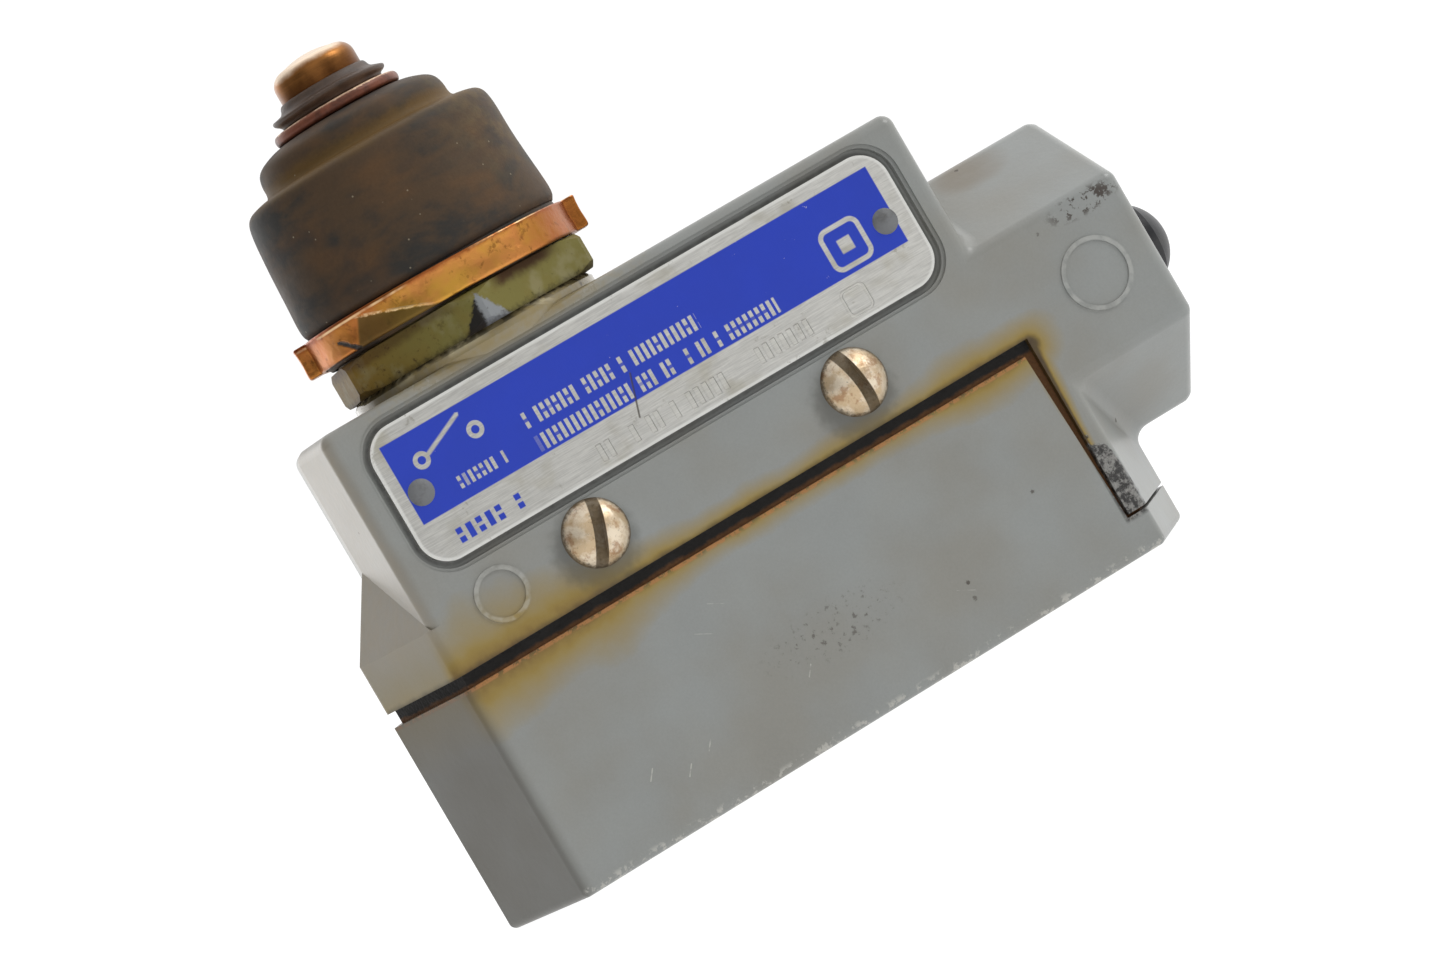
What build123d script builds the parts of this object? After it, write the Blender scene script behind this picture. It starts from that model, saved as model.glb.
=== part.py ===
"""Enclosed limit switch with a booted top plunger: every piece as its own solid, in millimetres.

While it is drawn, x runs from the left edge of the front face towards the conduit hub, y runs back from
the front face and z runs up from the underside of the cover. Each finished piece is then shifted so that
the origin lies on the back mounting face, midway between the two tapped mounting holes.
"""
import math
import os
from build123d import *

# ---- enclosure -------------------------------------------------------------------------------------------
body_depth = 24.4            # front face to back mounting face
block_width = 63.3           # upper block, at its front face
block_height = 25.2          # from the parting line to the top
side_draft = 0.3             # how far each end of the block leans out by mid depth
back_taper = 1.8             # how far each end draws in again at the back face
wall = 2.2                   # die-cast wall of housing and cover
end_wall = 3.6
roof = 2.6                   # thickness of the housing's top wall
edge_radius = 1.2            # rounding of the cast outer edges
ridge_radius = 2.0           # rounding of the hub's ridges along mid depth
back_corner_radius = 2.5     # rounding of the block's upright back edges
corner_radius = 1.6          # hollow rounding where the hub runs into the block and the leg

flare_reach = 5.1            # how far the left end swells out at mid depth
flare_straight = 5.0         # height above the parting line where the swelling starts to die away
flare_fade = 7.6             # further height in which it dies away
flare_edge_radius = 0.8      # rounding of its edge at mid depth

hub_length = 16.6            # conduit hub beyond the block
hub_front_half = 7.65        # half height of the hub's flat front
hub_waist_half = 16.0        # half height of the hub at mid depth
conduit_rise = 1.95          # conduit axis above the parting line
conduit_radius = 10.2        # plain stand-in for the tapered pipe thread
conduit_recess_margin, conduit_recess_depth = 0.8, 1.0

leg_gap = 0.4                # from the block's right end to the leg that comes down beside the cover
leg_front_width = 1.9
leg_waist_width = 8.8

# ---- cover and gasket ------------------------------------------------------------------------------------
cover_top = 21.9
gasket_thickness = 1.4
slit_top, slit_low = 1.1, 0.3                # the slit between cover and leg is a wedge
foot_height = 3.8            # foot of the cover that reaches under the leg
foot_gasket = 0.3
cover_floor = 2.5
cover_edge_radius = 0.7
gasket_inset = 0.8           # the gasket's edge lies this far inside the enclosure's outline

# ---- cover screws ----------------------------------------------------------------------------------------
cover_screw_radius = 1.7
cover_screw_head_radius, cover_screw_head_height = 3.1, 2.0
cover_screw_clearance = 0.25
cover_screw_left = 0.4
cover_screw_leg_offset = 4.7 # from the leg's left face
screw_boss_radius = 3.6
cover_thread_depth = 8.0
slot_width, slot_depth = 1.2, 1.0

# ---- nameplate -------------------------------------------------------------------------------------------
plate_left_margin, plate_right_margin = 3.15, 3.1
plate_drop, plate_height = 2.0, 13.9
plate_corner = 3.0
plate_thickness = 0.8
pocket_margin, pocket_depth, pocket_lip = 0.7, 1.1, 0.35
rivet_radius, rivet_shank_radius, rivet_height = 1.27, 0.8, 0.45
rivet_inset, rivet_rise = 2.7, 7.0

# ---- round pads cast on the front ------------------------------------------------------------------------
pad_height = 0.15
pad_ring_width = 0.45
left_pad_place, left_pad_rise, left_pad_radius = 7.5, 4.6, 2.66
right_pad_inset, right_pad_radius = 6.8, 3.6

# ---- mounting --------------------------------------------------------------------------------------------
mount_inset = 6.25           # from each end of the block, which leaves the holes 50.8 apart
mount_drop = 6.2             # below the block's top
mount_hole_radius = 2.0      # tapped hole, drawn as its plain core
mount_hole_depth = 10.0
mount_boss_radius = 3.4

# ---- plunger and basic switch, placed from the plunger's axis --------------------------------------------
plunger_place = 20.1
case_overhang, case_length = 8.2, 41.4       # the case starts this far left of the plunger
case_thickness = 17.5
case_rise = 1.0              # underside of the case above the parting line
case_base = 6.7              # solid base that the mounting screws and terminals go through
case_height = 17.2
case_wall = 1.6
case_lid = 1.6
barrier_width, barrier_drop = 1.2, 2.6
button_radius, button_rise = 1.5, 1.7
button_bar_length, button_bar_width, button_bar_height = 12.0, 3.0, 1.4
pole_offset = 4.4            # each pole's distance from mid depth
blade_thickness, blade_width = 0.3, 3.6
blade_rise = 11.2            # blade's middle above the case's underside
blade_tip_inset, blade_pivot_inset = 4.1, 5.3
blade_root_radius = 0.4      # the blade's root is rolled, and turns in a groove in its strap
contact_radius, contact_thickness = 1.2, 0.5
contact_gap = 0.05
contact_throw = 0.70
strap_thickness, strap_width = 0.6, 4.0
strap_inset = 0.2
open_strap_place = 14.1      # where the lower contact's strap goes down through the base
terminal_length, terminal_width, terminal_thickness = 7.0, 6.0, 0.8
terminal_screw_radius, terminal_screw_head_radius, terminal_screw_head_height = 1.45, 2.5, 1.8
terminal_screw_reach = 1.8
terminal_screw_offset = 4.2  # from the strap's outer face to the binding screw
case_rivet_offsets = [16.6, 29.1]
case_rivet_radius, case_rivet_head_radius, case_rivet_head_height = 1.1, 1.9, 0.6
case_pillar_radius = 2.3

# ---- switch screws, seen on the front --------------------------------------------------------------------
switch_screw_offsets = [(-2.1, 4.0), (26.7, 3.8)]    # from the plunger's axis and from the case's underside
switch_screw_slot_angles = [21.0, -8.0]
switch_screw_head_radius, switch_screw_head_height = 3.3, 1.9
switch_screw_radius = 1.6
switch_screw_bite = 1.3      # metal left behind the screw's end in the back wall
switch_hole_clearance = 0.2
switch_pad_radius = 4.0

# ---- bushing and boot, heights counted up from the boss or from the piece below --------------------------
running_clearance = 0.05
boss_rise = 1.2              # boss above the block's top
boss_swell = 0.7             # how far the boss stands out of the front and back faces
boss_fade = 2.4              # height over which it dies into them
hex_across_flats, hex_height = 25.4, 3.6
hex_turn = 24.8              # turns the bushing's hexagon as it was left when tightened
hex_corner_cut = 0.27        # how much the turned chamfer takes off each corner
shank_radius = 9.5
shank_reach = 0.9            # the shank comes this far out under the roof
seal_cord_radius = 0.9
band_thickness, band_height, band_lift = 0.6, 3.7, 0.1
band_ear_height, band_ear_width = 1.16, 3.2
band_ear_angle = 168.0
boot_seat_radius = 12.2
boot_wall, cuff_wall = 1.4, 1.1
boot_base_swell = 0.3
boot_skirt_height, boot_taper = 12.1, 0.9
boot_groove_rise, boot_step_rise, boot_top_rise = 1.8, 3.7, 4.9      # above the skirt's shoulder
boot_step_radius = 9.7
tower_height, tower_wall = 7.4, 1.4
spring_pocket_drop = 0.1     # floor of the spring's pocket below the cuff's top
guide_drop = 6.4             # lower end of the guide bore below the cuff's top

# ---- plunger assembly ------------------------------------------------------------------------------------
plunger_radius = 4.23
plunger_rise = 4.3           # tip above the wiper
plunger_tail = 1.5           # end below the guide bore
plunger_crown, plunger_edge = 0.45, 1.5
plunger_bore_wall, plunger_bore_length = 1.23, 14.8
plunger_ring_width, plunger_ring_thickness = 1.77, 0.6
plunger_ring_groove = 0.4
plunger_ring_gap = 0.2
ring_pocket_clearance = 0.5
top_ring_width, top_ring_height = 2.37, 1.2
top_seal_width, top_seal_height = 1.77, 1.1
seat_width, seat_height, seat_drop = 2.17, 1.0, 2.9
return_spring_gap, return_spring_wire, return_spring_turns = 0.72, 0.45, 7
spring_pocket_clearance = 0.75
over_spring_clearance, over_spring_wire, over_spring_turns = 0.45, 0.35, 9
inner_head_clearance, inner_head_height, inner_head_lift = 0.1, 1.2, 0.1
inner_stem_radius, inner_button_gap = 1.6, 0.1
inner_clip_bite, inner_clip_thickness, inner_clip_rise = 0.35, 0.6, 1.7
inner_clip_hole = 1.75

# ---- conduit plug ----------------------------------------------------------------------------------------
plug_length = 11.0
plug_wall = 1.6
plug_clearance = 0.1
plug_knob_radius, plug_knob_length, plug_knob_dome = 4.0, 5.7, 2.2

liner_thickness, liner_height, liner_end_gap = 0.4, 17.0, 1.0

# ---- places worked out from the sizes above --------------------------------------------------------------
waist = body_depth / 2
parting = cover_top + gasket_thickness
block_top = parting + block_height
cavity_left, cavity_right = end_wall, block_width - end_wall
cavity_top = block_top - roof
flare_shoulder = parting + flare_straight
flare_peak = flare_shoulder + flare_fade
hub_end = block_width + hub_length
conduit_height = parting + conduit_rise
conduit_recess_radius = conduit_radius + conduit_recess_margin
leg_left = block_width + leg_gap
leg_front_right, leg_waist_right = leg_left + leg_front_width, leg_left + leg_waist_width
leg_low = foot_height + foot_gasket
cover_end_top, cover_end_low = leg_left - slit_top, leg_left - slit_low
cover_screw_right = leg_left + cover_screw_leg_offset
screw_seat = cover_screw_head_height + 0.3

plate_left, plate_right = plate_left_margin, block_width - plate_right_margin
plate_high = block_top - plate_drop
plate_low = plate_high - plate_height
rivet_places = [(plate_left + rivet_inset, plate_low + rivet_rise),
                (plate_right - rivet_inset, plate_low + rivet_rise)]
pads = [(left_pad_place, parting + left_pad_rise, left_pad_radius),
        (hub_end - right_pad_inset, conduit_height, right_pad_radius)]
mount_height = block_top - mount_drop
mount_left, mount_right = mount_inset, block_width - mount_inset

case_left = plunger_place - case_overhang
case_right = case_left + case_length
case_low = parting + case_rise
case_high = case_low + case_height
case_front, case_back = waist - case_thickness / 2, waist + case_thickness / 2
case_base_top = case_low + case_base
lid_low = case_high - case_lid
case_rivet_places = [case_left + offset_x for offset_x in case_rivet_offsets]
poles = [waist - pole_offset, waist + pole_offset]
blade_height = case_low + blade_rise
blade_top, blade_under = blade_height + blade_thickness / 2, blade_height - blade_thickness / 2
blade_tip, blade_pivot = case_left + blade_tip_inset, case_right - blade_pivot_inset
closed_contact_low = blade_top + contact_thickness + contact_gap
open_contact_high = blade_under - contact_thickness - contact_throw - contact_gap
switch_screw_places = [(plunger_place + x, case_low + z) for x, z in switch_screw_offsets]
closed_strap_x = case_left + case_wall + strap_inset
open_strap_x = case_left + open_strap_place
common_strap_x = case_right - case_wall - strap_inset - strap_thickness
closed_pad = (closed_strap_x, closed_strap_x + terminal_length)
open_pad = (open_strap_x, open_strap_x + terminal_length)
common_pad = (common_strap_x + strap_thickness - terminal_length, common_strap_x + strap_thickness)
terminal_screw_places = [closed_pad[0] + terminal_screw_offset, open_pad[0] + terminal_screw_offset,
                         common_pad[1] - terminal_screw_offset]

boss_radius, boss_top = waist + boss_swell, block_top + boss_rise
hex_top = boss_top + hex_height
band_low = hex_top + band_lift
band_top = band_low + band_height
band_inner = boot_seat_radius + cuff_wall
boot_base_radius = band_inner + boot_base_swell
boot_shoulder_radius, boot_shoulder_height = boot_base_radius - boot_taper, band_top + boot_skirt_height
boot_groove_height = boot_shoulder_height + boot_groove_rise
boot_step_height, boot_top = boot_shoulder_height + boot_step_rise, boot_shoulder_height + boot_top_rise
guide_radius = plunger_radius + running_clearance
guide_floor = band_top - guide_drop
return_spring_radius = plunger_radius + return_spring_gap + return_spring_wire
spring_pocket_radius = return_spring_radius + return_spring_wire + spring_pocket_clearance
spring_pocket_floor = band_top - spring_pocket_drop
tower_radius, tower_top = spring_pocket_radius + tower_wall, band_top + tower_height
top_ring_radius, top_seal_radius = plunger_radius + top_ring_width, plunger_radius + top_seal_width
seat_radius, seat_low = plunger_radius + seat_width, boot_top - seat_drop
seal_low = boot_top + top_ring_height
plunger_top = seal_low + top_seal_height + plunger_rise
plunger_end = guide_floor - plunger_tail
plunger_bore_radius = plunger_radius - plunger_bore_wall
plunger_bore_top = plunger_end + plunger_bore_length
plunger_ring_radius = plunger_radius + plunger_ring_width
plunger_ring_high = guide_floor - plunger_ring_gap
ring_pocket_radius = plunger_ring_radius + ring_pocket_clearance
inner_clip_low = plunger_end + inner_clip_rise
inner_clip_radius = plunger_bore_radius + inner_clip_bite
inner_head_radius = plunger_bore_radius - inner_head_clearance
inner_head_low = inner_clip_low + inner_clip_thickness + inner_head_lift
inner_end = case_high + button_rise + inner_button_gap
over_spring_radius = plunger_bore_radius - over_spring_clearance - over_spring_wire
origin = (block_width / 2, body_depth, mount_height)


def block(x0, x1, y0, y1, z0, z1):
    """A plain box from one corner to the other."""
    return Pos(x0, y0, z0) * Box(x1 - x0, y1 - y0, z1 - z0, align=(Align.MIN, Align.MIN, Align.MIN))


def post(x, y, z0, z1, radius):
    """An upright round bar."""
    return Pos(x, y, z0) * Cylinder(radius, z1 - z0, align=(Align.CENTER, Align.CENTER, Align.MIN))


def pin(x, z, y0, y1, radius):
    """A round bar lying from front to back."""
    return Pos(x, y0, z) * Rot(-90, 0, 0) * Cylinder(
        radius, y1 - y0, align=(Align.CENTER, Align.CENTER, Align.MIN))


def tube(x, y, z0, z1, outer, inner):
    """An upright ring."""
    return post(x, y, z0, z1, outer) - post(x, y, z0 - 1, z1 + 1, inner)


def polyhedron(points, faces):
    """A flat-faced solid from its corners."""
    return Solid(Shell([Face(Wire.make_polygon([points[i] for i in face])) for face in faces]))


def frustum(face, middle):
    """A block whose rectangle (x0, x1, z0, z1) changes from the front face to mid depth, and back again."""
    corners = []
    for (x0, x1, z0, z1), y in ((face, 0), (middle, waist)):
        corners += [(x0, y, z0), (x1, y, z0), (x1, y, z1), (x0, y, z1)]
    sides = [(0, 1, 2, 3), (7, 6, 5, 4), (1, 0, 4, 5), (2, 1, 5, 6), (3, 2, 6, 7), (0, 3, 7, 4)]
    half = polyhedron(corners, sides)
    return half + mirror(half, Plane(origin=(0, waist, 0), z_dir=(0, 1, 0)))


def at_waist(edge):
    return abs(edge.center().Y - waist) < 0.01


def rounded(solid, radius, ridge=0.0):
    """The solid with its outer edges rounded, and its ridges at mid depth by a radius of their own."""
    solid = fillet([edge for edge in solid.edges() if not at_waist(edge)], radius)
    return fillet([edge for edge in solid.edges() if at_waist(edge) and edge.length > body_depth / 4
                   and abs(edge.tangent_at(0).X) > 0.9], ridge) if ridge else solid


def turned(points, x=0, y=0):
    """A solid of revolution about an upright axis, from (radius, height) points."""
    face = make_face(Polyline(*[(r, 0, z) for r, z in points], close=True))
    return Pos(x, y, 0) * revolve(face, Axis.Z)


def dome(radius, height):
    """A shallow round cap that stands on z = 0."""
    ball = (radius ** 2 + height ** 2) / (2 * height)
    return Pos(0, 0, height - ball) * Sphere(ball) & post(0, 0, 0, height + 1, radius)


def round_head(radius, height, slot_angle):
    """A slotted round head that stands on z = 0 and points up."""
    head = dome(radius, height)
    slot = Rot(0, 0, slot_angle) * block(-slot_width / 2, slot_width / 2, -radius - 1, radius + 1,
                                         height - slot_depth, height + 1)
    return head - slot


def coil(radius, wire, z0, z1, turns, x, y):
    """A compression spring between two heights, its ends closed in by the wire's own radius."""
    height = z1 - z0 - 2 * wire
    path = Helix(pitch=height / turns, height=height, radius=radius)
    section = Plane(origin=path @ 0, z_dir=path % 0) * Circle(wire)
    return Pos(x, y, z0 + wire) * sweep(section, path, is_frenet=True)


# ---- enclosure -------------------------------------------------------------------------------------------
def make_flare():
    """The swelling at the left end: a wedge-shaped slab with a pyramid on it that dies into the block."""
    inside = back_taper + 4.2
    low = parting - 3
    front, edge, back = (0, 0), (-flare_reach, waist), (back_taper, body_depth)
    ring = Pos(0, 0, low) * make_face(Polyline(front, edge, back, (inside, body_depth), (inside, 0),
                                               close=True))
    slab = extrude(ring, flare_shoulder - low)
    peak = (-side_draft, waist, flare_peak)
    base = [(*front, flare_shoulder), (*edge, flare_shoulder), (*back, flare_shoulder),
            (inside, waist, flare_shoulder), peak]
    pyramid = polyhedron(base, [(0, 1, 4), (1, 2, 4), (2, 3, 4), (3, 0, 4), (0, 3, 2, 1)])
    smooth = extrude(ring, flare_peak - low)
    for place, radius in ((front, edge_radius), (edge, flare_edge_radius)):
        upright = smooth.edges().filter_by(Axis.Z).sort_by_distance((*place, flare_shoulder))[0]
        smooth = fillet(upright, radius)
    return (slab + pyramid) & smooth


def housing_hull():
    """The outside of the upper casting before anything is hollowed out."""
    low = parting - 3
    outline = Polyline((0, 0), (block_width, 0), (block_width + side_draft, waist),
                       (block_width - back_taper, body_depth), (back_taper, body_depth),
                       (-side_draft, waist), close=True)
    upper = extrude(Pos(0, 0, low) * make_face(outline), block_top - low)
    uprights = upper.edges().filter_by(Axis.Z).group_by(Axis.Y)
    upper = fillet(uprights[0] + uprights[1], edge_radius)
    upper = fillet(upper.edges().filter_by(Axis.Z).group_by(Axis.Y)[-1], back_corner_radius)
    upper = fillet(upper.faces().sort_by(Axis.Z)[-1].edges(), edge_radius)
    hub_inside = block_width - 12
    hub = rounded(frustum((hub_inside, hub_end, conduit_height - hub_front_half,
                           conduit_height + hub_front_half),
                          (hub_inside, hub_end, conduit_height - hub_waist_half,
                           conduit_height + hub_waist_half)), edge_radius, ridge_radius)
    leg = rounded(frustum((hub_inside, leg_front_right, leg_low - 3, conduit_height),
                          (hub_inside, leg_waist_right, leg_low - 3, conduit_height)), edge_radius)
    hull = upper + hub + leg + make_flare()
    return fillet([edge for edge in hull.edges() if is_hub_corner(edge)], corner_radius)


def is_hub_corner(edge):
    """Whether an edge is one of the slanted hollow ones between the hub and the block or the leg."""
    middle, along = edge.center(), edge.tangent_at(0.5)
    return block_width - back_taper < middle.X < leg_waist_right and abs(along.Y) > 0.7 and abs(along.Z) > 0.4


def parting_space(x_step, z_upper, z_lower, lean=0.0):
    """Everything on the cover's side of a stepped parting face, right through the enclosure."""
    far = 100
    outline = Polyline((-far, -far), (far, -far), (far, z_lower), (x_step + lean, z_lower), (x_step, z_upper),
                       (-far, z_upper), close=True)
    face = Plane.XZ * make_face(outline)
    return Pos(0, far, 0) * extrude(face, 2 * far)


def conduit_bore(x0, x1, radius):
    return Pos(x0, waist, conduit_height) * Rot(0, 90, 0) * Cylinder(
        radius, x1 - x0, align=(Align.CENTER, Align.CENTER, Align.MIN))


def plate_outline(margin, y0, y1):
    """The nameplate's rounded rectangle, grown by a margin, as a slab from y0 to y1."""
    width, height = plate_right - plate_left + 2 * margin, plate_high - plate_low + 2 * margin
    middle = ((plate_left + plate_right) / 2, y1, (plate_low + plate_high) / 2)
    place = Plane(origin=middle, x_dir=(1, 0, 0), z_dir=(0, -1, 0))
    return extrude(place * RectangleRounded(width, height, plate_corner + margin), y1 - y0)


def make_plunger_boss():
    """The round boss under the bushing, a little wider than the block, that fades into its faces."""
    fade = boss_radius - waist
    shape = turned([(0, boss_top - boss_fade - 3), (waist - 0.4, boss_top - boss_fade - 3),
                    (waist - 0.4, boss_top - boss_fade - 1), (waist + fade, boss_top - 1.1),
                    (waist + fade, boss_top - 0.5), (waist + fade - 0.5, boss_top), (0, boss_top)],
                   plunger_place, waist)
    return shape


def make_housing():
    shell = housing_hull() + make_plunger_boss()
    shell -= parting_space(leg_left, parting, leg_low)

    cavity = block(cavity_left, cavity_right, wall, body_depth - wall, parting - 1, cavity_top)
    cavity -= post(cover_screw_left, waist, parting - 2, parting + cover_thread_depth + 2, screw_boss_radius)
    for x in (mount_left, mount_right):
        cavity -= pin(x, mount_height, 0, body_depth, mount_boss_radius)
    for x, z in switch_screw_places:
        cavity -= pin(x, z, 0, case_front, switch_pad_radius)
        cavity -= pin(x, z, case_back, body_depth, switch_pad_radius)
    shell -= cavity
    shell -= conduit_bore(cavity_right - 1, hub_end + 1, conduit_radius)
    shell -= conduit_bore(hub_end - conduit_recess_depth, hub_end + 1, conduit_recess_radius)

    shell -= post(plunger_place, waist, cavity_top - 1, boss_top + 1, shank_radius)
    shell -= post(cover_screw_left, waist, parting - 1, parting + cover_thread_depth, cover_screw_radius)
    shell -= post(cover_screw_right, waist, leg_low - 1, leg_low + cover_thread_depth, cover_screw_radius)
    for x in (mount_left, mount_right):
        shell -= pin(x, mount_height, body_depth - mount_hole_depth, body_depth + 1, mount_hole_radius)
    for x, z in switch_screw_places:
        shell -= pin(x, z, -1, case_front + 1, switch_screw_radius + switch_hole_clearance)
        shell -= pin(x, z, case_back - 1, body_depth - switch_screw_bite, switch_screw_radius)

    shell -= plate_outline(pocket_margin, -1, pocket_depth)
    shell -= plate_outline(pocket_margin + pocket_lip, -1, pocket_lip)
    for x, z in rivet_places:
        shell -= pin(x, z, 0, wall - 0.2, rivet_shank_radius)
    for x, z, radius in pads:
        ring = pin(x, z, -pad_height, 0.5, radius) - pin(x, z, -1, 0, radius - pad_ring_width)
        shell += ring
    return shell


def outline_bar(z0, z1, inset=0.0):
    """The enclosure's lower outline seen from above, with both ends slanted out to mid depth."""
    points = [(0, 0), (leg_front_right, 0), (leg_waist_right, waist), (leg_front_right, body_depth),
              (back_taper, body_depth), (-flare_reach, waist)]
    face = make_face(Polyline(*points, close=True))
    if inset:
        face = offset(face, -inset, kind=Kind.INTERSECTION)
    return extrude(Pos(0, 0, z0) * face, z1 - z0)


def make_cover():
    body = outline_bar(0, cover_top + 3)
    outer = [edge for edge in body.edges() if edge.center().Z < cover_top + 2
             and not (edge.is_closed or abs(edge.center().Y - waist) < 0.01)]
    body = fillet(outer, cover_edge_radius)
    body &= parting_space(cover_end_top, cover_top, foot_height, cover_end_low - cover_end_top)

    cavity = block(cavity_left, cavity_right, wall, body_depth - wall, cover_floor, cover_top + 5)
    cavity -= post(cover_screw_left, waist, 0, cover_top + 5, screw_boss_radius)
    body -= cavity
    body -= conduit_bore(cavity_right - 1, leg_left, conduit_radius)
    for x in (cover_screw_left, cover_screw_right):
        body -= post(x, waist, -1, cover_top + 1, cover_screw_radius + cover_screw_clearance)
        body -= post(x, waist, -1, screw_seat, cover_screw_head_radius + cover_screw_clearance)
    return body


def make_gasket():
    step = parting_space(leg_left, parting, leg_low)
    step -= parting_space(cover_end_top, cover_top, foot_height, cover_end_low - cover_end_top)
    sheet = outline_bar(0, parting + 1, gasket_inset) & step
    opening = block(cavity_left, cavity_right, wall, body_depth - wall, 0, parting + 5)
    opening -= post(cover_screw_left, waist, 0, parting + 5, screw_boss_radius)
    sheet -= opening
    sheet -= conduit_bore(cavity_right - 1, leg_left + 1, conduit_radius)
    for x in (cover_screw_left, cover_screw_right):
        sheet -= post(x, waist, 0, parting + 1, cover_screw_radius + cover_screw_clearance)
    return sheet


def make_cover_screw(x, tip):
    """A slotted screw that stands up into the housing, with its head let into the underside."""
    head = round_head(cover_screw_head_radius, cover_screw_head_height, 90)
    upside_down = Pos(x, waist, screw_seat) * Rot(180, 0, 0)
    return upside_down * head + post(x, waist, screw_seat, tip, cover_screw_radius)


def make_liner():
    """A bent fibre sheet that lies on the cover's floor and lines its long walls."""
    left = cover_screw_left + screw_boss_radius + liner_end_gap
    right = cavity_right - liner_end_gap
    sheet = block(left, right, wall, body_depth - wall, cover_floor, cover_floor + liner_height)
    hollow = block(left - 1, right + 1, wall + liner_thickness, body_depth - wall - liner_thickness,
                   cover_floor + liner_thickness, cover_top)
    return sheet - hollow


# ---- nameplate and front screws --------------------------------------------------------------------------
def make_nameplate():
    plate = plate_outline(0, pocket_depth - plate_thickness, pocket_depth)
    for x, z in rivet_places:
        plate -= pin(x, z, 0, body_depth, rivet_shank_radius)
    return plate


def make_rivets():
    """Two drive rivets: a low round head on the plate and a shank in the casting."""
    face = pocket_depth - plate_thickness
    group = []
    for x, z in rivet_places:
        head = Pos(x, face, z) * Rot(90, 0, 0) * dome(rivet_radius, rivet_height)
        group.append(head + pin(x, z, face, wall - 0.2, rivet_shank_radius))
    return group


def make_switch_screws():
    group = []
    for (x, z), angle in zip(switch_screw_places, switch_screw_slot_angles):
        head = round_head(switch_screw_head_radius, switch_screw_head_height, -angle)
        facing_front = Pos(x, 0, z) * Rot(90, 0, 0)
        shank = pin(x, z, 0, body_depth - switch_screw_bite, switch_screw_radius)
        group.append(facing_front * head + shank)
    return group


# ---- plunger assembly ------------------------------------------------------------------------------------
def on_plunger_axis(points):
    return turned(points, plunger_place, waist)


def make_bushing():
    """Hexagon, threaded shank below it, and the boot seat and guide tower above it."""
    hexagon = extrude(Pos(plunger_place, waist, boss_top) * Rot(0, 0, hex_turn)
                      * RegularPolygon(hex_across_flats / 2, 6, major_radius=False), hex_top - boss_top)
    corner = hex_across_flats / math.sqrt(3) - hex_corner_cut
    chamfer = corner - hex_across_flats / 2
    hexagon &= on_plunger_axis([(0, boss_top), (corner - chamfer / 2, boss_top),
                                (corner, boss_top + chamfer / 3), (corner, hex_top - chamfer / 3),
                                (corner - chamfer / 2, hex_top), (0, hex_top)])
    low = cavity_top - shank_reach
    body = hexagon + post(plunger_place, waist, low, boss_top, shank_radius)
    body += post(plunger_place, waist, hex_top, band_top, boot_seat_radius)
    body += post(plunger_place, waist, band_top, tower_top, tower_radius)
    body -= post(plunger_place, waist, low - 1, guide_floor, ring_pocket_radius)
    body -= post(plunger_place, waist, guide_floor - 1, tower_top, guide_radius)
    body -= post(plunger_place, waist, spring_pocket_floor, tower_top + 1, spring_pocket_radius)
    seal_groove = tube(plunger_place, waist, boss_top - 1, boss_top + 2 * seal_cord_radius * 0.7,
                       shank_radius + 2 * seal_cord_radius, shank_radius - 0.01)
    return body - seal_groove


def make_bushing_seal():
    """The flattened ring of rubber that seals the bushing on its boss."""
    return tube(plunger_place, waist, boss_top, boss_top + 2 * seal_cord_radius * 0.7,
                shank_radius + 2 * seal_cord_radius, shank_radius)


def make_boot():
    """A stepped rubber bellows: cuff under the band, tapered skirt, groove, small step and flat top."""
    outer = [(boot_seat_radius, band_low), (band_inner, band_low), (band_inner, band_top),
             (boot_base_radius, band_top + 0.5), (boot_shoulder_radius, boot_shoulder_height),
             (boot_shoulder_radius - 0.5, boot_shoulder_height + 0.9),
             (boot_shoulder_radius - 1.6, boot_groove_height - 0.3),
             (boot_step_radius + 0.2, boot_groove_height),
             (boot_step_radius, boot_groove_height + 0.6), (boot_step_radius, boot_step_height),
             (boot_step_radius - 1.0, boot_top)]
    inner = [(plunger_radius, boot_top), (plunger_radius, boot_top - boot_wall),
             (boot_step_radius - boot_wall - 0.4, boot_top - boot_wall),
             (boot_step_radius - boot_wall, boot_groove_height - boot_wall),
             (boot_shoulder_radius - boot_wall - 0.6, boot_groove_height - boot_wall - 0.9),
             (boot_base_radius - boot_wall - 0.1, band_top + 0.5), (boot_seat_radius, band_top)]
    return on_plunger_axis(outer + inner)


def make_band():
    """The crimped band around the boot's cuff, with two folded ears on opposite sides."""
    outer = band_inner + band_thickness
    ring = tube(plunger_place, waist, band_low, band_top, outer, band_inner)
    middle = Pos(plunger_place, waist, 0)
    for turn in (band_ear_angle, band_ear_angle + 180):
        ear = block(band_inner + 0.1, outer + band_ear_height, -band_ear_width / 2, band_ear_width / 2,
                    band_low, band_top)
        ear = fillet(ear.edges().filter_by(Axis.Z).sort_by(Axis.X)[-2:], 0.5)
        ring += middle * Rot(0, 0, turn) * ear
    return ring


def make_plunger():
    crown = plunger_top - plunger_crown
    rod = post(plunger_place, waist, plunger_end, crown, plunger_radius)
    rod = fillet(rod.edges().sort_by(Axis.Z)[-1], plunger_edge)
    rod += Pos(plunger_place, waist, crown) * dome(plunger_radius - plunger_edge, plunger_crown)
    rod -= post(plunger_place, waist, plunger_end - 1, plunger_bore_top, plunger_bore_radius)
    rod -= tube(plunger_place, waist, plunger_ring_high - plunger_ring_thickness, plunger_ring_high,
                plunger_radius + 1, plunger_radius - plunger_ring_groove)
    rod -= post(plunger_place, waist, inner_clip_low, inner_clip_low + inner_clip_thickness,
                inner_clip_radius)
    return rod


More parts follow.
